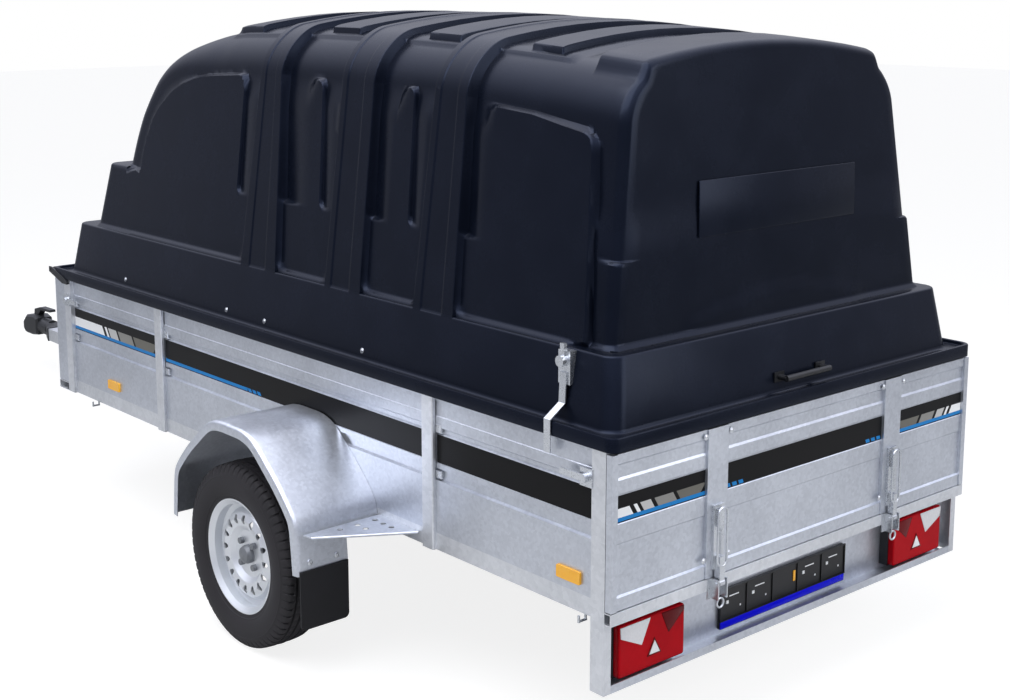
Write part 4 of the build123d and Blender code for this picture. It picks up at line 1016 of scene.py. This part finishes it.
def flat_strip(corners, depth):
    """A plane whose corners are set and which is then extruded along depth."""
    bpy.ops.object.select_all(action="DESELECT")
    bpy.ops.mesh.primitive_plane_add(size=2)
    piece = bpy.context.object
    a, b, c, d = [(x - row_shift, y, z) for x, y, z in corners]
    piece.data.vertices.foreach_set("co", np.array([a, b, d, c]).ravel())
    bpy.ops.object.mode_set(mode="EDIT")
    bpy.ops.mesh.select_all(action="SELECT")
    bpy.ops.mesh.extrude_region_move(TRANSFORM_OT_translate={"value": depth})
    bpy.ops.mesh.select_all(action="SELECT")
    bpy.ops.mesh.normals_make_consistent(inside=False)
    bpy.ops.object.mode_set(mode="OBJECT")
    return piece


def dressed(piece, material, body):
    """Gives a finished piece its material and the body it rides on."""
    piece.data.materials.clear()
    piece.data.materials.append(material)
    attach(piece, body)
    return piece


def bevelled(width, segments, everything=False):
    """Bevels what is selected on the active piece, or all of it."""
    bpy.ops.object.mode_set(mode="EDIT")
    if everything:
        bpy.ops.mesh.select_all(action="SELECT")
    bpy.ops.mesh.bevel(offset=width, segments=segments)
    bpy.ops.object.mode_set(mode="OBJECT")


# %% [markdown]
# On each side wall the ground comes in three lengths between the posts. The blocks near
# the front lean with the stripe's speed lines, and the blue line breaks up into three dots.

# %% Stripe on the side walls
both_sides = ((1, "left"), (-1, "right"))
skin, top_coat = 0.0004, 0.0003
half_wall = 0.764
band_low, line_top, blue_top, block_top, band_high = 0.6895, 0.6925, 0.7035, 0.7380, 0.7715
front_blocks = (  # colour, from x, to x, lean of its rear edge
    (film_white, 2.953, 2.705, 0.022), (film_white, 2.684, 2.668, 0.022),
    (film_pale, 2.656, 2.592, 0.022), (film_grey, 2.578, 2.472, 0.022),
    (film_dark, 2.458, 2.330, -0.030),
)
ground_lengths = ((2.953, 2.291), (2.2355, 0.7425), (0.6875, 0.0525))


def on_wall(side, x0, x1, z0, z1, level=0.0, lean0=0.0, lean1=0.0, depth=top_coat):
    """A strip on a side wall between two places, its ends leaning by lean over its height."""
    y = side * half_wall + side * level
    corners = ((x0, y, z0), (x1, y, z0), (x1 + lean1, y, z1), (x0 + lean0, y, z1))
    return flat_strip(corners, (0, side * depth, 0))


for side, word in both_sides:
    grounds = [on_wall(side, x1, x0, band_low, band_high, depth=skin) for x0, x1 in ground_lengths]
    dressed(joined("wall_film_black_" + word, grounds), film_black, "chassis")
    blues = [on_wall(side, x0, x1, line_top, blue_top, skin) for x0,
             x1 in ((2.291, 2.953), (1.690, 2.2355))]
    blues += [on_wall(side, x, x + 0.020, line_top, blue_top, skin, 0.008, 0.008)
              for x in (1.662, 1.634, 1.606)]
    dressed(joined("wall_film_blue_" + word, blues), film_blue, "chassis")
    for k, (colour, x0, x1, lean) in enumerate(front_blocks):
        lean_front = 0.0 if k == 0 else 0.022
        block = on_wall(side, x1, x0, blue_top, block_top, skin, lean, lean_front)
        block.name = block.data.name = f"wall_film_block_{k}_{word}"
        dressed(block, colour, "chassis")
print("side films", len(front_blocks) + 2, "a side")

# %% [markdown]
# The tailgate carries the same stripe, mirrored about its middle, between its uprights. It
# is made with its own function, as it lies across the trailer and not along it, and it
# rides on the tailgate, so that it swings down with it.

# %% Stripe on the tailgate
sides = (1, -1)
gate_low, gate_line, gate_blue, gate_block, gate_high = 0.6955, 0.6985, 0.7090, 0.7330, 0.7665
gate_out, gate_grounds = 0.013, ((0.4275, 0.7585), (-0.3465, 0.3465), (-0.7585, -0.4275))
gate_blocks = ((film_white, 0.7585, 0.695, 0.015), (film_white, 0.680, 0.668, 0.015),
               (film_pale, 0.656, 0.618, 0.015),
               (film_grey, 0.604, 0.535, 0.015), (film_dark, 0.522, 0.445, -0.020))


def on_gate(y0, y1, z0, z1, level=0.0, lean0=0.0, lean1=0.0, depth=top_coat):
    """A strip on the tailgate's face between two places across it."""
    x = -gate_out - level
    return flat_strip(((x, y0, z0), (x, y1, z0), (x, y1 + lean1, z1), (x, y0 + lean0, z1)), (-depth, 0, 0))


grounds = [on_gate(a, b, gate_low, gate_high, depth=skin) for a, b in gate_grounds]
dressed(joined("gate_film_black", grounds), film_black, "tailgate_body")
blues = [on_gate(a, b, gate_line, gate_blue, skin) for a, b in gate_grounds[::2]]
blues += [on_gate(side * y - 0.009, side * y + 0.009, gate_line, gate_blue, skin, 0.004, 0.004)
          for side in sides for y in (0.334, 0.308, 0.282)]
dressed(joined("gate_film_blue", blues), film_blue, "tailgate_body")
for side, word in both_sides:
    for k, (colour, y0, y1, lean) in enumerate(gate_blocks):
        lean_outer = 0.0 if k == 0 else 0.015
        block = on_gate(side * y1, side * y0, gate_blue, gate_block, skin, side * lean, side * lean_outer)
        block.name = block.data.name = f"gate_film_block_{k}_{word}"
        dressed(block, colour, "tailgate_body")
print("tailgate films", 2 * len(gate_blocks) + 2)

# %% [markdown]
# A tyre is a ring of rubber whose section bulges from the bead at the rim to the widest
# point of the sidewall and then turns over a squared shoulder. Four grooves run round the
# tread and short slots cut the shoulders into blocks. The ring is laid out as a grid of
# sections round the axle, and the grooves are pressed into it.

# %% Tyres
tyre_radius, pitches, axle_x, wheel_y, groove_half = 0.289, 66, 1.335, 0.966, 0.003
slot_depth, sipe_depth, shoulder_start = 0.0045, 0.0022, 0.0445
half_section = [  # radius, distance from the middle of the tread
    (0.172, 0.050), (0.1735, 0.0605), (0.178, 0.0632), (0.184, 0.0645), (0.1900, 0.0662),
    (0.1925, 0.0690), (0.1960, 0.0695), (0.1985, 0.0712), (0.208, 0.0742), (0.220, 0.0765),
    (0.232, 0.0772), (0.244, 0.0764), (0.250, 0.0752), (0.2515, 0.0758), (0.2535, 0.0752),
    (0.2550, 0.0740), (0.262, 0.0722), (0.269, 0.0700), (0.2755, 0.0672), (0.280, 0.0640),
    (0.2835, 0.0600), (0.2855, 0.0550), (0.2865, 0.0480),
]
tread = []
for groove in (0.0385, 0.0130):
    tread += [(0.2870, groove + groove_half + 0.0012), (0.2800, groove + groove_half),
              (0.2800, groove - groove_half), (0.2875, groove - groove_half - 0.0012),
              (0.2880, groove - 0.013)]
half_section += tread[:-1] + [(tyre_radius, 0.0)]
section = np.array(half_section + [(r, -w) for r, w in half_section[-2::-1]])
section = np.vstack([section, [(0.166, -0.040), (0.166, 0.040)], section[:1]])
cuts = (0.0, 0.07, 0.22, 0.29, 0.5, 0.75)


def tyre_grid(centre_y, side):
    """Places of a tyre's surface: sections round the axle, cut by the slots of the tread."""
    rings = []
    for k in range(pitches + 1):
        for part_of, cut in enumerate(cuts if k < pitches else cuts[:1]):
            ring = []
            for r, w in section:
                across = np.abs(w)
                twist = 0.0 if across > 0.045 else 0.35 * w / 0.045
                angle = 2 * half_turn * (k + cut + twist * (r > 0.27)) / pitches
                on_block = across > shoulder_start or 0.0180 < across < 0.0340
                slotted = part_of in (1, 2) and r > 0.262 and on_block
                reach = r - (slot_depth if across > shoulder_start else sipe_depth) * slotted
                ring.append((axle_x + reach * math.sin(angle), centre_y + side * w,
                             tyre_radius + reach * math.cos(angle)))
            rings.append(ring)
    return np.array(rings)


for side, word in both_sides:
    tyre = joined("tyre_" + word + "_tread", [laid_out("tyre_ring", tyre_grid(side * wheel_y, side))])
    smoothed(32)
    dressed(tyre, tyre_rubber, "wheel_" + word)
    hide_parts("tyre_" + word)
print("tyre", len(tyre.data.polygons), "faces each")

# %% [markdown]
# Each mudguard is pressed from one sheet: it runs flat over the wheel with rounded bends
# and its outer edge is turned down into a narrow flange that keeps it stiff. It could be
# extruded bend by bend, but its line is one long curve. So one closed section is swept
# along it, with its inner edge let out where the mud flap hangs, and the ends are filled.

# %% Mudguards
guard_x, inner_edge, foot_edge = 1.320, 0.7686, 0.885
guard_line = [
    (0.362, 0.342), (0.354, 0.430), (0.346, 0.486), (0.326, 0.524), (0.262, 0.590), (0.196, 0.645),
    (0.150, 0.681), (0.112, 0.702), (0.064, 0.7125), (0.0, 0.714),
]
arch = [(guard_x - a, b) for a, b in guard_line] + [(guard_x + a, b) for a, b in guard_line[-2::-1]]
sweep = smooth_line(arch, 97)
ahead = np.gradient(sweep, axis=0)
ahead /= np.linalg.norm(ahead, axis=1)[:, None]
away = np.stack([-ahead[:, 1], ahead[:, 0]], axis=1)
guard_section = [  # depth below the outer skin, distance from the trailer's middle
    (0, inner_edge), (0, 0.860), (0, 0.960), (0, 1.045), (0.0006, 1.0510),
    (0.0025, 1.0560), (0.0060, 1.0590), (0.0110, 1.0600), (0.0300, 1.0600), (0.0300, 1.0580),
    (0.0115, 1.0580), (0.0072, 1.0572), (0.0042, 1.0545), (0.0026, 1.0505), (0.002, 1.045),
    (0.002, 0.960), (0.002, 0.860), (0.002, inner_edge), (0, inner_edge),
]
guard_inner = np.where((sweep[:, 1] < 0.4625) & (sweep[:, 0] < guard_x), foot_edge, inner_edge)
for side, word in both_sides:
    grid = np.array([[(p[0] - q[0] * d, side * max(y, inner), p[1] - q[1] * d) for d, y in guard_section]
                     for p, q, inner in zip(sweep, away, guard_inner)])
    guard = joined("mudguard_" + word + "_pressed", [laid_out("guard", grid)])
    bpy.ops.object.mode_set(mode="EDIT")
    bpy.ops.mesh.select_all(action="DESELECT")
    bpy.ops.mesh.select_mode(type="EDGE")
    bpy.ops.mesh.select_non_manifold(extend=False, use_wire=False, use_multi_face=False,
                                     use_non_contiguous=False)
    bpy.ops.mesh.edge_face_add()
    bpy.ops.mesh.select_all(action="SELECT")
    bpy.ops.mesh.normals_make_consistent(inside=False)
    bpy.ops.mesh.select_mode(type="VERT")
    bpy.ops.object.mode_set(mode="OBJECT")
    smoothed(30)
    dressed(guard, sheet_zinc, "chassis")
    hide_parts("mudguard_" + word)
print("mudguards", len(guard.data.polygons), "faces each")

# %% [markdown]
# Small hardware holds everything together: hexagon bolts with washers at the mud flaps,
# and domed rivets along the skirt, the rim of the cover and the tailgate's uprights. A disc
# with a bevelled edge is the start of each head and washer.

# %% Bolt and rivet


def disc(corners, radius, depth, height, width, segments):
    """A round or six-sided disc with bevelled edges, flat at the given height."""
    bpy.ops.object.select_all(action="DESELECT")
    bpy.ops.mesh.primitive_cylinder_add(vertices=corners, radius=radius, depth=depth,
                                        location=(0, 0, height))
    made = bpy.context.object
    bevelled(width, segments, everything=True)
    return made


def hexagon_bolt():
    """A bolt head on a round washer, pointing up from the origin."""
    head = disc(6, 0.0098, 0.0065, 0.0052, 0.0012, 2)
    washer = disc(28, 0.0125, 0.0022, 0.0010, 0.0005, 1)
    return joined("bolt_pattern", [head, washer], merge=0.00001)


def round_rivet():
    """A low domed head with a thin rim, pointing up from the origin."""
    bpy.ops.object.select_all(action="DESELECT")
    bpy.ops.mesh.primitive_uv_sphere_add(segments=20, ring_count=12, radius=0.0062, location=(0, 0, 0))
    head = bpy.context.object
    bpy.ops.object.mode_set(mode="EDIT")
    bpy.ops.mesh.select_all(action="SELECT")
    bpy.ops.transform.resize(value=(1, 1, 0.6))
    bpy.ops.object.mode_set(mode="OBJECT")
    rim = disc(24, 0.0085, 0.0014, 0.0006, 0.0004, 1)
    return joined("rivet_pattern", [head, rim], merge=0.00001)


bolt, rivet = hexagon_bolt(), round_rivet()
print("bolt", len(bolt.data.polygons), "faces, rivet", len(rivet.data.polygons))

# %% [markdown]
# All bolts are alike, and so are all rivets, so the one that is modelled is copied to its
# places, each copy with its own mesh. A copy is turned so that its top looks outwards, and
# all of one kind on one body become one piece.

# %% Bolts and rivets in their places


def copies(pattern, name, places, finish, body):
    """Copies of a pattern set on places, each a point and an outward direction, joined into one piece."""
    made = []
    for point, direction in places:
        one = pattern.copy()
        one.data = pattern.data.copy()
        bpy.context.scene.collection.objects.link(one)
        one.location = (point[0] - row_shift, point[1], point[2])
        one.rotation_euler = Vector(direction).to_track_quat("Z", "Y").to_euler()
        made.append(one)
    bpy.ops.object.select_all(action="DESELECT")
    for one in made:
        one.select_set(True)
    bpy.context.view_layer.objects.active = made[0]
    bpy.ops.object.transform_apply(location=True, rotation=True, scale=True)
    whole = joined(name, made, merge=0.000001)
    smoothed(35)
    return dressed(whole, finish, body)


flap_bolts = [((0.9605, side * y, 0.377), (-1, 0, 0.08)) for side in sides for y in (0.925, 1.018)]
copies(bolt, "mud_flap_bolts", flap_bolts, bright_zinc, "chassis")
skirt_rivets = [((x, side * 0.7338, 0.935), (0, side, 0.158)) for side in sides
                for x in (2.579, 1.861, 1.625, 1.083)]
copies(rivet, "skirt_rivets", skirt_rivets, bright_zinc, "cover_body")
rim_screws = [((x, side * 0.757, 0.9087), (0, 0, 1)) for side in sides
              for x in (2.76, 2.31, 1.86, 1.41, 0.96, 0.51)]
rim_screws += [((0.0, y, 0.9087), (0, 0, 1)) for y in (-0.52, 0.0, 0.52)]
copies(rivet, "rim_screws", rim_screws, cover_moulding, "cover_body")
gate_rivets = [((-0.0222, side * y, z), (-1, 0, 0)) for side in sides for y in (0.437, 0.337)
               for z in (0.520, 0.858)]
copies(rivet, "gate_rivets", gate_rivets, bright_zinc, "tailgate_body")
for pattern in (bolt, rivet):
    bpy.data.objects.remove(pattern, do_unlink=True)
print("bolts and rivets", len(flap_bolts + skirt_rivets + rim_screws + gate_rivets))

# %% [markdown]
# Where a wall's folded edge meets a post, two small clips hold it. A plain box would catch
# no light on its edges, so they are flat pieces with softened edges.

# %% Clips at the posts
clip_y, clip_depth = 0.7592, 0.0098
clips = []
for side in sides:
    for x0, x1 in ((0.664, 0.6885), (2.2125, 2.2365), (2.9285, 2.9535)):
        for low_z, high_z in ((0.6445, 0.6675), (0.7775, 0.8025)):
            y = side * clip_y
            corners = ((x0, y, low_z), (x1, y, low_z), (x1, y, high_z), (x0, y, high_z))
            clips.append(flat_strip(corners, (0, side * clip_depth, 0)))
            bevelled(0.002, 2)
print("clips", len(clips))
dressed(joined("wall_clips", clips), bright_zinc, "chassis")

# %% [markdown]
# The rear lamps are red lenses with a clear window for the reversing light in the upper
# outer corner, a darker field for the indicator and a white triangle in the middle, in a
# black housing. The fields could be colours on one lens, but on a real lamp they are parts
# of their own, so each is a thin flat piece with a soft edge that stands over the lens.

# %% Rear lamps
# Clear window with a white mirror behind it: pale, bright and glossy.
clear_plastic = speckled("clear_lamp_window", "#cfcfd2", "#f0f0f2", 0.12, 0.006, 0.0004, IOR=1.49)
# Smoked red: the dark field and the triangle's rim.
deep_red = speckled("deep_red_lens", "#560409", "#700810", 0.15, 0.008, 0.0002, IOR=1.49,
                    Specular_IOR_Level=0.12)
# Prism reflector: white with a fine grain, as its facets scatter the light.
reflector_white = speckled("white_prism_reflector", "#dcdcde", "#ffffff", 0.2, 0.003, 0.0004, IOR=1.49)
lens_x, triangle_x, window_cut = 0.0102, 0.0088, 0.0016
reversing = ((0.713, 0.4005), (0.602, 0.4005), (0.634, 0.334), (0.711, 0.371))
indicator = ((0.560, 0.400), (0.474, 0.400), (0.474, 0.388), (0.532, 0.340))
outer = ((0.613, 0.294), (0.559, 0.294), (0.5855, 0.342), (0.5865, 0.342))
inner = ((0.6055, 0.2990), (0.5665, 0.2990), (0.5856, 0.3335), (0.5864, 0.3335))
housing_bars = ((0.7155, 0.7185, 0.2600, 0.4060), (0.4675, 0.4705, 0.2600, 0.4060),
                (0.4705, 0.7155, 0.2600, 0.2625), (0.4705, 0.7155, 0.4035, 0.4060))


def box_corners(y0, y1, z0, z1):
    """The four corners of an upright rectangle, as (y, z)."""
    return (y0, z0), (y1, z0), (y1, z1), (y0, z1)


def on_rear(corners, x, depth, name, finish, rounding=0.0015):
    """A flat piece on a rear-facing surface at x: corners are (y, z)."""
    piece = flat_strip([(x, y, z) for y, z in corners], (-depth, 0, 0))
    bevelled(rounding, 2)
    piece.name = piece.data.name = name
    smoothed(30)
    return dressed(piece, finish, "chassis")


for side, word in both_sides:
    on_rear([(side * y, z) for y, z in reversing], lens_x, 0.0026, "reversing_window_" + word,
            clear_plastic)
    on_rear([(side * y, z) for y, z in indicator], lens_x, window_cut, "indicator_window_" + word, deep_red)
    on_rear([(side * y, z) for y, z in outer], lens_x, window_cut, "triangle_rim_" + word, deep_red,
            0.0004)
    on_rear([(side * y, z) for y, z in inner], triangle_x, window_cut, "triangle_" + word, reflector_white,
            0.0004)
    frames = []
    for bar in housing_bars:
        frames.append(flat_strip([(0.0595, side * y, z) for y, z in box_corners(*bar)], (-0.030, 0, 0)))
    dressed(joined("lamp_housing_" + word, frames), grip_plastic, "chassis")
print("lamps dressed")

# %% [markdown]
# The plate carrier between the lamps is a black tray with thin ribs, a few pale clips and a
# blue strip below. The plate itself is left off, so the tray stays bare. All of its ribs
# are straight bars, so a row of four numbers tells each: from, to, low and high.

# %% Plate carrier
# Blue strip: a strong even blue, the only bright colour between the lamps.
strip_blue = film_finish("blue_holder_strip", "#1414e6")
holder_x, rib_height = 0.0522, 0.0034
rib_bars = ((-0.280, 0.280, 0.3680, 0.3722), (-0.280, -0.276, 0.2800, 0.3700),
            (0.276, 0.280, 0.2800, 0.3700),
            (0.166, 0.170, 0.2830, 0.3700), (0.054, 0.058, 0.2830, 0.3700),
            (-0.058, -0.054, 0.2830, 0.3700),
            (-0.170, -0.166, 0.2830, 0.3700), (-0.276, 0.276, 0.2800, 0.2830))
clip_bars = (  # from, to, low, high, depth
    (-0.020, 0.020, 0.3460, 0.3490, 0.0014), (0.024, 0.033, 0.3280, 0.3370, 0.0024),
    (-0.030, -0.025, 0.3080, 0.3130, 0.0014),
)
on_rear(box_corners(-0.278, 0.278, 0.2590, 0.2790), holder_x, 0.0018, "holder_strip", strip_blue,
        0.0005)
ribs = [flat_strip([(holder_x, y, z) for y, z in box_corners(*bar)], (-rib_height, 0, 0))
        for bar in rib_bars]
print("ribs", len(ribs))
dressed(joined("holder_ribs", ribs), plate_plastic, "chassis")
marks = []
for y in (0.222, 0.112, -0.112, -0.222):
    for a0, a1, z0, z1, depth in clip_bars:
        corners = [(holder_x, y + a, z) for a, z in box_corners(a0, a1, z0, z1)]
        marks.append(flat_strip(corners, (-depth, 0, 0)))
print("clips on the carrier", len(marks))
dressed(joined("holder_clips", marks), film_white, "chassis")
on_rear(box_corners(-0.046, -0.036, 0.318, 0.350), holder_x, 0.003, "holder_catch", amber_plastic)

# %% [markdown]
# A long wire loop lies over each of the tailgate's straps, and a pull ring hangs below the
# hinge. A wire could follow a curve, but a torus whose upper half is moved up gives the same
# straight wires between two round ends in two steps. The loop swings with the tailgate and
# the ring stays with the frame.

# %% Gate loops and pull rings
wire, strap_y, loop_x, ring_x = 0.0030, 0.387, -0.0430, -0.0400


def wire_loop(y, low_z, high_z, radius, x, name):
    """A ring of wire whose upper half is moved up, so that it becomes a long oval."""
    bpy.ops.object.select_all(action="DESELECT")
    bpy.ops.mesh.primitive_torus_add(major_segments=32, minor_segments=12, major_radius=radius,
                                     minor_radius=wire,
                                     location=(x - row_shift, y, low_z + radius),
                                     rotation=(0, half_turn / 2, 0))
    loop = bpy.context.object
    loop.name = name
    bpy.ops.object.transform_apply(location=True, rotation=True, scale=True)
    bpy.ops.object.mode_set(mode="EDIT")
    bpy.ops.mesh.select_mode(type="VERT")
    bpy.ops.mesh.select_all(action="DESELECT")
    bpy.ops.object.mode_set(mode="OBJECT")
    for vertex in loop.data.vertices:
        vertex.select = vertex.co.z > low_z + radius + 0.0001
    bpy.ops.object.mode_set(mode="EDIT")
    bpy.ops.transform.translate(value=(0, 0, high_z - low_z - 2 * radius))
    bpy.ops.object.mode_set(mode="OBJECT")
    return loop


loops, rings = [], []
for side in sides:
    y = side * strap_y
    loops.append(wire_loop(y, 0.500, 0.662, 0.0185, loop_x, "loop"))
    rings.append(wire_loop(y, 0.3845, 0.4105, 0.0130, ring_x, "ring"))
print("loops", len(loops), "rings", len(rings))
dressed(joined("gate_loops", loops, merge=0.000001), bright_zinc, "tailgate_body")
smoothed(50)
dressed(joined("gate_rings", rings, merge=0.000001), bright_zinc, "chassis")
smoothed(50)

# %% [markdown]
# On the rear face of the cover a flat plate with slanted ends is moulded for a badge. It
# stays blank here. It could be pressed into the face's grid, but its slanted ends would
# need a grid line each, so it is a flat piece laid on the face, leaning as the face does.

# %% Badge plate
badge_corners = ((0.1165, 0.330, 1.353), (0.1165, -0.345, 1.353), (0.1325, -0.362, 1.503),
                 (0.1325, 0.315, 1.503))
badge = flat_strip(badge_corners, (-0.0048, 0, 0))
bevelled(0.0025, 3)
badge.name = badge.data.name = "cover_badge_plate"
smoothed(40)
dressed(badge, cover_moulding, "cover_body")
print("badge plate", [round(v, 3) for v in badge.dimensions])
